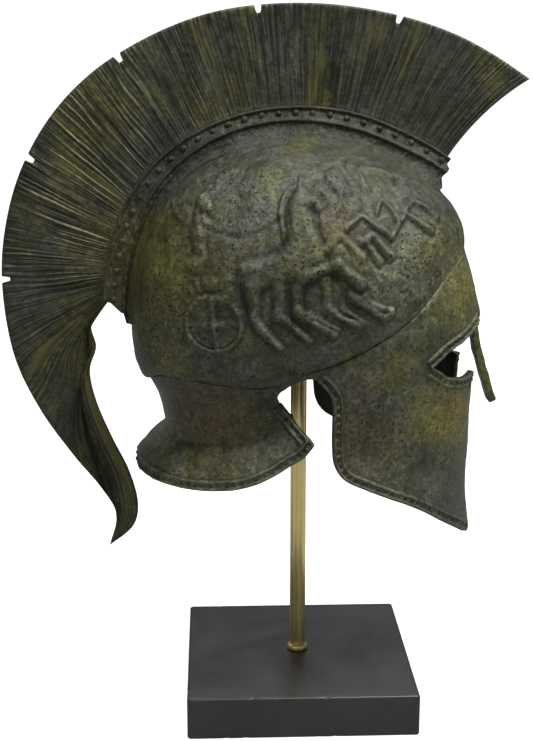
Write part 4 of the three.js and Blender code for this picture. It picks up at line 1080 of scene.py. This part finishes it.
def round_bar(radius, low, high, size=64, rows=3, edge=0.3):
    """A round bar with a small bevel at both ends."""
    z = np.concatenate([[low, low], np.linspace(low + edge, high - edge, rows), [high, high]])
    r = np.concatenate([[radius * 0.3, radius - edge], np.full(rows, radius), [radius - edge, radius * 0.3]])
    turn = whole_turn(size)[None, :]
    rings = np.stack([
        r[:, None] * np.cos(turn), r[:, None] * np.sin(turn), np.broadcast_to(z[:, None], (len(z), size)),
    ], -1)
    return (*tube(rings), {})


def foot_ring(size=96):
    """The brass ring at the rod's foot: a rounded collar with slight notches round it."""
    outer = (RING_HIGH[0] - RING_LOW[0]) / 2
    inner = (ROD_HIGH[0] - ROD_LOW[0]) / 2 + GAP
    low, high = RING_LOW[2], RING_HIGH[2]
    profile = np.array([
        [inner, low], [outer - 0.3, low], [outer, low + 0.4], [outer, high - 1.1], [outer - 0.5, high - 0.3],
        [outer - 1.1, high], [inner, high],
    ])
    turn = whole_turn(size)
    knurl = 1 - 0.012 * (np.cos(turn * 24) > 0.5)
    round_off = profile[None, :, 0]
    radius = np.where(round_off > inner + 0.5, round_off * knurl[:, None], round_off)
    rings = np.stack([
        radius * np.cos(turn)[:, None], radius * np.sin(turn)[:, None],
        np.broadcast_to(profile[None, :, 1], radius.shape),
    ], -1)
    points = rings.reshape(-1, 3)
    rows, columns = rings.shape[:2]
    closed = np.arange(rows)[:, None] * columns + np.arange(columns)[None, :]
    a, b = closed, np.roll(closed, -1, 0)
    quads = np.stack([a, np.roll(a, -1, 1), np.roll(b, -1, 1), b], -1).reshape(-1, 4)
    return points, outward([quads], points), {}


# Shader nodes.
def add(tree, kind, inputs=None, **settings):
    """A node with its settings and inputs. An input is a value or another node's output."""
    made = tree.nodes.new(kind)
    for key, value in settings.items():
        setattr(made, key, value)
    for key, value in (inputs or {}).items():
        if isinstance(value, bpy.types.NodeSocket):
            tree.links.new(value, made.inputs[key])
        else:
            made.inputs[key].default_value = value
    return made


def math_node(tree, operation, a, b=0.0, clamp=False):
    """A Math node's output."""
    return add(tree, "ShaderNodeMath", {0: a, 1: b}, operation=operation, use_clamp=clamp).outputs[0]


def times(tree, a, b):
    """The product of two values."""
    return math_node(tree, "MULTIPLY", a, b)


def plus(tree, a, b):
    """The sum of two values."""
    return math_node(tree, "ADD", a, b)


def attribute(tree, name):
    """A point attribute's value."""
    return add(tree, "ShaderNodeAttribute", attribute_name=name).outputs["Fac"]


def blend_colour(tree, factor, a, b, kind="MIX"):
    """A Mix node's colour output."""
    made = add(tree, "ShaderNodeMix", {0: factor, 6: a, 7: b}, data_type="RGBA", blend_type=kind)
    return made.outputs[2]


def mask(tree, value, low, high):
    """Stretches a range of a value to 0 to 1, smoothly."""
    made = add(tree, "ShaderNodeMapRange", {0: value, 1: low, 2: high}, interpolation_type="SMOOTHSTEP")
    return made.outputs[0]


def noise(tree, place, scale, detail=3.0, rough=0.55, warp=0.0):
    """A Noise texture's value."""
    inputs = {"Vector": place, "Scale": scale, "Detail": detail, "Roughness": rough, "Distortion": warp}
    return add(tree, "ShaderNodeTexNoise", inputs).outputs[0]


def stained(tree, given, colour, place, middle):
    """The stains and the painted sheen laid over a colour at their places in the side view, broken up by the
    middling noise.
    """
    flat = add(tree, "ShaderNodeVectorMath", {0: place, 1: (1, 0, 1)}, operation="MULTIPLY").outputs[0]
    for stain in STAINS:
        x, z = side_view([(stain["x"], stain["height"])])[0] * MM
        away = add(tree, "ShaderNodeVectorMath", {0: flat, 1: (x, 0, z)}, operation="DISTANCE")
        patch = times(tree, mask(tree, away.outputs["Value"], stain["radius"] * MM, 0.0), stain["strength"])
        patch = times(tree, patch, mask(tree, middle, 0.30, 0.56))
        colour = blend_colour(tree, patch, colour, given[stain["colour"].title()])
    return colour


def pit_holes(tree, place, fine):
    """Small uneven holes in cells picked at random, more of them in the fields of pits."""
    field = attribute(tree, "pitted")
    swirl = add(tree, "ShaderNodeTexNoise", {"Vector": place, "Scale": 500.0, "Detail": 2.0}).outputs["Color"]
    shift = add(tree, "ShaderNodeVectorMath", {0: swirl, 3: 0.0022}, operation="SCALE").outputs[0]
    uneven = add(tree, "ShaderNodeVectorMath", {0: place, 1: shift}, operation="ADD").outputs[0]
    hole = 0.0
    for scale, size in ((300.0, 0.34), (520.0, 0.42)):
        cells = add(tree, "ShaderNodeTexVoronoi", {"Vector": uneven, "Scale": scale}).outputs
        chance = plus(tree, times(tree, field, 0.6), 0.24)
        chosen = math_node(tree, "LESS_THAN", cells["Color"], chance)
        reach = times(tree, mask(tree, fine, 0.25, 0.65), size)
        inside = math_node(tree, "LESS_THAN", cells["Distance"], reach)
        hole = math_node(tree, "MAXIMUM", times(tree, chosen, inside), hole)
    return hole


def patina_group():
    """Node group for aged bronze: mottled ground, stains at their places with a painted sheen among them,
    pits, pale raised places that are partly wear and partly painted highlight, and painted shade in the
    hollows and on the inner faces.
    """
    tree = bpy.data.node_groups.new("aged_bronze", "ShaderNodeTree")
    face = tree.interface
    colours = ("Ground", "Dark", "Grey", "Olive", "Rust", "Brown", "Pale_Patina_And_Sheen", "Pale")
    for name in colours:
        face.new_socket(name, in_out="INPUT", socket_type="NodeSocketColor")
    # The Wear input scales the pale mark on raised places, partly wear and partly painted highlight.
    for name, value in (("Olive Amount", 0.5), ("Brown Amount", 0.3), ("Pits", 1.0), ("Wear_And_Highlight", 1.0)):
        face.new_socket(name, in_out="INPUT", socket_type="NodeSocketFloat").default_value = value
    face.new_socket("Colour", in_out="OUTPUT", socket_type="NodeSocketColor")
    face.new_socket("Roughness", in_out="OUTPUT", socket_type="NodeSocketFloat")
    face.new_socket("Height", in_out="OUTPUT", socket_type="NodeSocketFloat")
    given = tree.nodes.new("NodeGroupInput").outputs
    place = add(tree, "ShaderNodeTexCoord").outputs["Object"]
    worn = attribute(tree, "wear_and_shade")
    broad = noise(tree, place, 11.0, 4.0, 0.55, 0.6)
    middle = noise(tree, place, 36.0, 6.0, 0.62, 0.5)
    other = add(tree, "ShaderNodeMapping", {"Vector": place, "Location": (3.1, 1.7, 5.3)}).outputs[0]
    cloud = noise(tree, other, 20.0, 5.0, 0.62, 0.8)
    fine = noise(tree, place, 170.0, 6.0, 0.72)
    crumb = noise(tree, place, 420.0, 5.0, 0.75)
    grain = noise(tree, place, 900.0, 3.0, 0.7)
    colour = blend_colour(tree, mask(tree, middle, 0.40, 0.60), given["Ground"], given["Grey"])
    crust = times(tree, mask(tree, cloud, 0.48, 0.34), 0.45)
    colour = blend_colour(tree, crust, colour, given["Dark"])
    olive = times(tree, mask(tree, broad, 0.46, 0.68), given["Olive Amount"])
    colour = blend_colour(tree, olive, colour, given["Olive"])
    brown = times(tree, mask(tree, cloud, 0.54, 0.70), given["Brown Amount"])
    colour = blend_colour(tree, brown, colour, given["Brown"])
    colour = stained(tree, given, colour, place, middle)
    for value, least, most in ((fine, 0.50, 1.60), (crumb, 0.45, 1.75)):
        shade = add(tree, "ShaderNodeMapRange", {0: value, 1: 0.32, 2: 0.68, 3: least, 4: most}).outputs[0]
        colour = blend_colour(tree, 1.0, colour, shade, "MULTIPLY")
    # Pale on raised places: partly wear, partly painted highlight.
    high = times(tree, mask(tree, worn, 0.20, 1.3), given["Wear_And_Highlight"])
    high = times(tree, high, mask(tree, crumb, 0.38, 0.60))
    colour = blend_colour(tree, times(tree, high, 0.40), colour, given["Pale"])
    # Painted shade: the inner faces darkened nearly to the dark colour.
    inside_shade = attribute(tree, "inner")
    colour = blend_colour(tree, times(tree, inside_shade, 0.85), colour, given["Dark"])
    # Painted shade: hollows darkened towards the dark colour.
    low = times(tree, mask(tree, worn, -0.05, -0.9), 0.6)
    colour = blend_colour(tree, low, colour, given["Dark"])
    hole = times(tree, pit_holes(tree, place, fine), given["Pits"])
    colour = blend_colour(tree, times(tree, hole, 0.8), colour, (0.004, 0.004, 0.004, 1))
    rough = add(tree, "ShaderNodeMapRange", {0: middle, 1: 0.3, 2: 0.7, 3: 0.30, 4: 0.48}).outputs[0]
    rough = plus(tree, rough, times(tree, fine, 0.14))
    height = plus(tree, times(tree, fine, 0.8), times(tree, crumb, 0.5))
    height = plus(tree, height, times(tree, grain, 0.15))
    height = math_node(tree, "SUBTRACT", height, times(tree, hole, 0.5))
    out = tree.nodes.new("NodeGroupOutput")
    tree.links.new(colour, out.inputs["Colour"])
    tree.links.new(rough, out.inputs["Roughness"])
    tree.links.new(height, out.inputs["Height"])
    return tree


def colour4(value):
    """A colour property as four numbers."""
    return (*value[:3], 1.0)


def blank_material(name):
    """A node material with only its output and a Principled shader, joined."""
    material = bpy.data.materials.new(name)
    material.use_nodes = True
    tree = material.node_tree
    tree.nodes.clear()
    shader = tree.nodes.new("ShaderNodeBsdfPrincipled")
    out = tree.nodes.new("ShaderNodeOutputMaterial")
    tree.links.new(shader.outputs[0], out.inputs[0])
    return material, tree, shader


def join_shader(tree, shader, colour, rough, height, distance, strength):
    """Joins colour, roughness and a height's bump to a Principled shader."""
    bumped = add(tree, "ShaderNodeBump", {"Height": height, "Distance": distance, "Strength": strength})
    tree.links.new(colour, shader.inputs["Base Color"])
    tree.links.new(rough, shader.inputs["Roughness"])
    tree.links.new(bumped.outputs[0], shader.inputs["Normal"])


def bronze_material(name, looks, olive, brown, pits_amount, depth, tone_and_shade=1.0, strands=False):
    """Aged bronze from the shared group, darkened by a factor that gives the ridge its darker colour and the
    crest partly painted shade, with hair lines added on the crest.
    """
    material, tree, shader = blank_material(name)
    group = add(tree, "ShaderNodeGroup", node_tree=bpy.data.node_groups["aged_bronze"])
    for key in ("Ground", "Dark", "Grey", "Olive", "Rust", "Brown", "Pale_Patina_And_Sheen", "Pale"):
        group.inputs[key].default_value = colour4(getattr(looks, key.lower()))
    group.inputs["Olive Amount"].default_value = olive
    group.inputs["Brown Amount"].default_value = brown
    group.inputs["Pits"].default_value = pits_amount
    group.inputs["Wear_And_Highlight"].default_value = 1.0
    # Darkens by the factor: the ridge's darker colour, and on the crest partly painted shade.
    colour = blend_colour(tree, 1.0, group.outputs["Colour"], (tone_and_shade, tone_and_shade, tone_and_shade, 1), "MULTIPLY")
    height = group.outputs["Height"]
    if strands:
        strand = attribute(tree, "strand")
        reach = attribute(tree, "reach")
        place = add(tree, "ShaderNodeCombineXYZ", {0: times(tree, strand, 300.0),
                                                   1: times(tree, reach, 1.2)}).outputs[0]
        hairs = noise(tree, place, 1.0, 3.0, 0.7)
        broad = add(tree, "ShaderNodeMapping", {"Vector": place, "Scale": (0.12, 0.8, 1)}).outputs[0]
        wide = noise(tree, broad, 1.0)
        streak = mask(tree, hairs, 0.54, 0.75)
        colour = blend_colour(tree, times(tree, streak, 0.38), colour, colour4(looks.pale))
        stain = times(tree, mask(tree, wide, 0.52, 0.70), 0.6)
        colour = blend_colour(tree, stain, colour, colour4(looks.olive))
        dark = times(tree, mask(tree, hairs, 0.54, 0.36), 0.75)
        colour = blend_colour(tree, dark, colour, colour4(looks.dark))
        height = plus(tree, height, times(tree, hairs, 1.4))
    join_shader(tree, shader, colour, group.outputs["Roughness"], height, depth, 0.8)
    shader.inputs["Metallic"].default_value = 0.35
    shader.inputs["Specular IOR Level"].default_value = 0.45
    return material


def brass_material(looks):
    """Drawn brass, a little tarnished, with fine lines along the rod."""
    material, tree, shader = blank_material("drawn_brass")
    place = add(tree, "ShaderNodeTexCoord").outputs["Object"]
    lines = add(tree, "ShaderNodeMapping", {"Vector": place, "Scale": (900, 900, 6)}).outputs[0]
    streak = noise(tree, lines, 1.0, 3.0, 0.6)
    cloud = noise(tree, place, 26.0, 4.0, 0.6)
    colour = blend_colour(tree, mask(tree, cloud, 0.35, 0.75), colour4(looks.brass), colour4(looks.tarnish))
    tint = add(tree, "ShaderNodeMapRange", {0: streak, 1: 0.3, 2: 0.7, 3: 0.80, 4: 1.25}).outputs[0]
    colour = blend_colour(tree, 1.0, colour, tint, "MULTIPLY")
    rough = add(tree, "ShaderNodeMapRange", {0: streak, 3: 0.18, 4: 0.38}).outputs[0]
    join_shader(tree, shader, colour, rough, streak, 0.0001, 0.3)
    shader.inputs["Metallic"].default_value = 0.65
    return material


def marble_material(looks):
    """Dark honed marble: soft grey clouds, faint pale specks and a satin polish."""
    material, tree, shader = blank_material("dark_marble")
    place = add(tree, "ShaderNodeTexCoord").outputs["Object"]
    cloud = noise(tree, place, 14.0, 6.0, 0.6, 1.2)
    speck = noise(tree, place, 700.0, 2.0, 0.6)
    clouded = mask(tree, cloud, 0.35, 0.72)
    colour = blend_colour(tree, clouded, colour4(looks.marble), colour4(looks.marble_cloud))
    light = times(tree, mask(tree, speck, 0.62, 0.78), 0.35)
    colour = blend_colour(tree, light, colour, (0.13, 0.13, 0.13, 1))
    rough = add(tree, "ShaderNodeMapRange", {0: cloud, 1: 0.3, 2: 0.7, 3: 0.24, 4: 0.36}).outputs[0]
    join_shader(tree, shader, colour, rough, speck, 0.00008, 0.4)
    return material


# The stage.
FLOOR_REACH = 6.0
LIGHTS = [
    {"name": "key", "spot": (0.50, -0.42, 1.70), "aim": (0.0, 0.0, 0.25), "size": 0.8, "share": 1.0},
    {"name": "fill", "spot": (-1.0, -1.5, 1.0), "aim": (0.0, 0.0, 0.25), "size": 1.4, "share": 0.08},
    {"name": "back", "spot": (-0.1, 1.1, 1.6), "aim": (0.0, 0.0, 0.30), "size": 1.2, "share": 0.4},
]


def make_floor(scene):
    """A wide pale floor that the camera sees as white while it throws back only a little light."""
    material, tree, shader = blank_material("pale_floor")
    place = add(tree, "ShaderNodeTexCoord").outputs["Object"]
    tint = blend_colour(tree, noise(tree, place, 3.0), (0.34, 0.34, 0.34, 1), (0.38, 0.38, 0.38, 1))
    tree.links.new(tint, shader.inputs["Base Color"])
    shader.inputs["Emission Color"].default_value = (1.0, 1.0, 1.0, 1)
    seen = add(tree, "ShaderNodeLightPath").outputs["Is Camera Ray"]
    tree.links.new(seen, shader.inputs["Emission Strength"])
    shader.inputs["Roughness"].default_value = 0.9
    mesh = bpy.data.meshes.new("floor")
    corners = [(x * FLOOR_REACH, y * FLOOR_REACH, 0) for x, y in ((-1, -1), (1, -1), (1, 1), (-1, 1))]
    mesh.from_pydata(corners, [], [(0, 1, 2, 3)])
    mesh.materials.append(material)
    floor = bpy.data.objects.new("floor", mesh)
    scene.collection.objects.link(floor)


def make_camera(scene, stage):
    """The camera that the photograph was fitted with."""
    camera = bpy.data.cameras.new("camera")
    camera.sensor_fit = "VERTICAL"
    camera.sensor_height = 36.0
    camera.lens = stage.lens
    eye = bpy.data.objects.new("camera", camera)
    eye.location = (stage.camera_x, stage.camera_y, stage.camera_z)
    eye.rotation_euler = (math.pi / 2 - stage.pitch, 0, -stage.yaw)
    scene.collection.objects.link(eye)
    scene.camera = eye


def make_lights(scene, stage):
    """Square lamps aimed at the helmet, their power as shares of the key light's."""
    for light in LIGHTS:
        lamp = bpy.data.lights.new(light["name"], "AREA")
        lamp.shape = "SQUARE"
        lamp.size = light["size"]
        lamp.energy = stage.key_power * light["share"]
        holder = bpy.data.objects.new(light["name"], lamp)
        holder.location = light["spot"]
        out = np.array(light["spot"]) - np.array(light["aim"])
        tilt = math.atan2(math.hypot(out[0], out[1]), out[2])
        holder.rotation_euler = (tilt, 0, math.atan2(out[1], out[0]) + math.pi / 2)
        scene.collection.objects.link(holder)


def make_surroundings(scene, stage):
    """Even light all round, with a white backdrop where the camera sees it."""
    world = bpy.data.worlds.new("studio")
    world.use_nodes = True
    ground = world.node_tree.nodes["Background"]
    ground.inputs["Color"].default_value = (1.0, 1.0, 1.0, 1)
    seen = add(world.node_tree, "ShaderNodeLightPath").outputs["Is Camera Ray"]
    lit = add(world.node_tree, "ShaderNodeMapRange", {0: seen, 3: stage.sky, 4: 1.1}).outputs[0]
    world.node_tree.links.new(lit, ground.inputs["Strength"])
    scene.world = world


# What a user may change.
def colour_property(name, description, default):
    """A colour that a user may change."""
    return bpy.props.FloatVectorProperty(name=name, description=description, subtype="COLOR", size=3,
                                         default=default)


class HelmetLooks(bpy.types.PropertyGroup):
    """Colours of the bronze, the brass and the marble."""
    ground: colour_property("Ground", "Main colour of the bronze's patina", (0.057, 0.063, 0.034))
    # Dark: crusts, and also painted shade in hollows and on the inner faces.
    dark: colour_property("Dark", "Dark crusts and hollows of the bronze", (0.010, 0.010, 0.009))
    grey: colour_property("Grey", "Grey and slightly purple bare places", (0.070, 0.076, 0.060))
    olive: colour_property("Olive", "Olive and yellow stains on the bronze", (0.180, 0.168, 0.042))
    rust: colour_property("Rust", "Orange-brown stains on the bronze", (0.190, 0.125, 0.030))
    brown: colour_property("Brown", "Red-brown stains on the bronze", (0.096, 0.062, 0.026))
    # Pale grey-green patina patches, and the painted highlight on the bowl.
    pale_patina_and_sheen: colour_property("Pale_Patina_And_Sheen", "Smooth lighter grey-green places", (0.165, 0.175, 0.120))
    # Pale: worn raised places, partly painted highlight, and the crest's pale hair streaks.
    pale: colour_property("Pale", "Pale green-grey of worn raised places", (0.225, 0.250, 0.165))
    brass: colour_property("Brass", "Bright brass of the rod", (1.0, 0.82, 0.36))
    tarnish: colour_property("Tarnish", "Dull brass of the rod", (0.90, 0.70, 0.27))
    marble: colour_property("Marble", "Dark ground of the marble", (0.028, 0.028, 0.029))
    marble_cloud: colour_property("Marble cloud", "Lighter clouds in the marble", (0.040, 0.040, 0.041))


class HelmetStage(bpy.types.PropertyGroup):
    """Camera and light of the stage."""
    camera_x: bpy.props.FloatProperty(name="Camera X", description="Camera place along X", unit="LENGTH",
                                      default=-0.0554)
    camera_y: bpy.props.FloatProperty(name="Camera Y", description="Camera place along Y", unit="LENGTH",
                                      default=-0.8966)
    camera_z: bpy.props.FloatProperty(name="Camera Z", description="Camera height", unit="LENGTH",
                                      default=0.4467)
    yaw: bpy.props.FloatProperty(name="Yaw", description="Turn of the view towards the helmet's face",
                                 subtype="ANGLE", default=math.radians(2.18))
    pitch: bpy.props.FloatProperty(name="Pitch", description="Downward tilt of the view", subtype="ANGLE",
                                   default=math.radians(13.83))
    lens: bpy.props.FloatProperty(name="Lens", description="Focal length on a sensor 36 mm tall",
                                  default=68.22, min=10.0, max=300.0)
    key_power: bpy.props.FloatProperty(name="Key light", description="Power of the large front light",
                                       unit="POWER", default=33.0, min=0.0)
    sky: bpy.props.FloatProperty(name="Sky", description="Strength of the even light all round", default=0.16,
                                 min=0.0)


class HELMET_OT_materials(bpy.types.Operator):
    """Makes the bronze, brass and marble materials"""
    bl_idname = "helmet.materials"
    bl_label = "Materials"

    def execute(self, context):
        looks = context.scene.helmet_looks
        patina_group()
        bronze_material("bronze_bowl", looks, 0.40, 0.30, 1.0, 0.0014)
        bronze_material("bronze_wall", looks, 0.60, 0.40, 0.9, 0.0014)
        bronze_material("bronze_trim", looks, 0.35, 0.20, 0.8, 0.0012)
        # The last numbers of the ridge and crest darken them: a darker colour on the ridge, partly painted
        # shade on the crest.
        bronze_material("bronze_ridge", looks, 0.30, 0.20, 1.0, 0.0018, 0.62)
        bronze_material("bronze_crest", looks, 0.55, 0.30, 0.2, 0.0006, 0.88, strands=True)
        brass_material(looks)
        marble_material(looks)
        return {"FINISHED"}


class HELMET_OT_bowl(bpy.types.Operator):
    """Makes both halves of the bowl with the raised scene"""
    bl_idname = "helmet.bowl"
    bl_label = "Bowl"

    def execute(self, context):
        material = bpy.data.materials["bronze_bowl"]
        for name, side in (("bowl_right", -1), ("bowl_left", 1)):
            new_piece(name, bowl_half(side), material, "helmet_shell")
        return {"FINISHED"}


class HELMET_OT_wall(bpy.types.Operator):
    """Makes the neck guard, cheek guards and brow"""
    bl_idname = "helmet.wall"
    bl_label = "Neck, cheeks and brow"

    def execute(self, context):
        new_piece("neck_and_cheeks", wall(), bpy.data.materials["bronze_wall"], "helmet_shell")
        return {"FINISHED"}


class HELMET_OT_rims(bpy.types.Operator):
    """Makes the raised rims along the edges and the nose bar"""
    bl_idname = "helmet.rims"
    bl_label = "Rims and nose bar"

    def execute(self, context):
        material = bpy.data.materials["bronze_trim"]
        new_piece("rim_neck", rim_sweep(*neck_rim(), SEED + 70), material, "helmet_shell")
        cheek = EAR_NOTCH[6:8] + CHEEK_BACK + CHEEK_FOOT[1:-1]
        edges = (("rim_ear", EAR_NOTCH[:3], 90), ("rim_cheek", cheek, 400),
                 ("rim_eye", EYE_FOOT[1:], 150), ("rim_brow", BROW_EDGE[:-1], 200))
        for name, rows, count in edges:
            for end, side in (("right", -1), ("left", 1)):
                shape = rim_sweep(*side_rim(rows, side, count), SEED + 71)
                new_piece(name + "_" + end, shape, material, "helmet_shell")
        new_piece("nose_bar", nose_bar(), material, "helmet_shell")
        return {"FINISHED"}


class HELMET_OT_ridge(bpy.types.Operator):
    """Makes the ridge that holds the crest, with its studs"""
    bl_idname = "helmet.ridge"
    bl_label = "Ridge and studs"

    def execute(self, context):
        material = bpy.data.materials["bronze_ridge"]
        new_piece("ridge", ridge(), material, "helmet_shell")
        new_piece("studs", studs(), material, "helmet_shell")
        return {"FINISHED"}


class HELMET_OT_crest(bpy.types.Operator):
    """Makes the crest and its tail"""
    bl_idname = "helmet.crest"
    bl_label = "Crest"

    def execute(self, context):
        material = bpy.data.materials["bronze_crest"]
        for name, first, last, columns in (("crest_front", 0.0, 0.5, 560), ("crest_tail", 0.5, 1.0, 600)):
            new_piece(name, crest_half(first, last, columns), material, "crest")
        return {"FINISHED"}


class HELMET_OT_stand(bpy.types.Operator):
    """Makes the marble block, the rod and its ring"""
    bl_idname = "helmet.stand"
    bl_label = "Stand"

    def execute(self, context):
        brass = bpy.data.materials["drawn_brass"]
        radius = (ROD_HIGH[0] - ROD_LOW[0]) / 2
        new_piece("brass_rod", round_bar(radius, BASE_TOP - ROD_DIP, ROD_HIGH[2]), brass, "rod")
        new_piece("brass_ring", foot_ring(), brass, "rod_ring")
        new_piece("marble_block", slab(), bpy.data.materials["dark_marble"], "base")
        return {"FINISHED"}


class HELMET_OT_stage(bpy.types.Operator):
    """Makes the floor, the lights and the camera"""
    bl_idname = "helmet.stage"
    bl_label = "Stage"

    def execute(self, context):
        scene = context.scene
        make_floor(scene)
        make_camera(scene, scene.helmet_stage)
        make_lights(scene, scene.helmet_stage)
        make_surroundings(scene, scene.helmet_stage)
        scene.view_settings.view_transform = "Standard"
        return {"FINISHED"}


class HELMET_PT_panel(bpy.types.Panel):
    """Lists the steps that build the helmet"""
    bl_label = "Helmet"
    bl_idname = "HELMET_PT_panel"
    bl_space_type = "VIEW_3D"
    bl_region_type = "UI"
    bl_category = "Helmet"

    def draw(self, context):
        for step in STEPS:
            self.layout.operator(step.bl_idname)


STEPS = (
    HELMET_OT_materials, HELMET_OT_bowl, HELMET_OT_wall, HELMET_OT_rims, HELMET_OT_ridge,
    HELMET_OT_crest, HELMET_OT_stand, HELMET_OT_stage,
)
CLASSES = (HelmetLooks, HelmetStage, *STEPS, HELMET_PT_panel)


def register():
    """Registers the classes and the scene's properties."""
    for item in CLASSES:
        bpy.utils.register_class(item)
    bpy.types.Scene.helmet_looks = bpy.props.PointerProperty(type=HelmetLooks)
    bpy.types.Scene.helmet_stage = bpy.props.PointerProperty(type=HelmetStage)


def unregister():
    """Takes the classes and properties away again."""
    del bpy.types.Scene.helmet_stage
    del bpy.types.Scene.helmet_looks
    for item in reversed(CLASSES):
        bpy.utils.unregister_class(item)


def main():
    """Builds everything in order."""
    register()
    for step in STEPS:
        group, name = step.bl_idname.split(".")
        getattr(getattr(bpy.ops, group), name)()


if __name__ == "__main__":
    main()
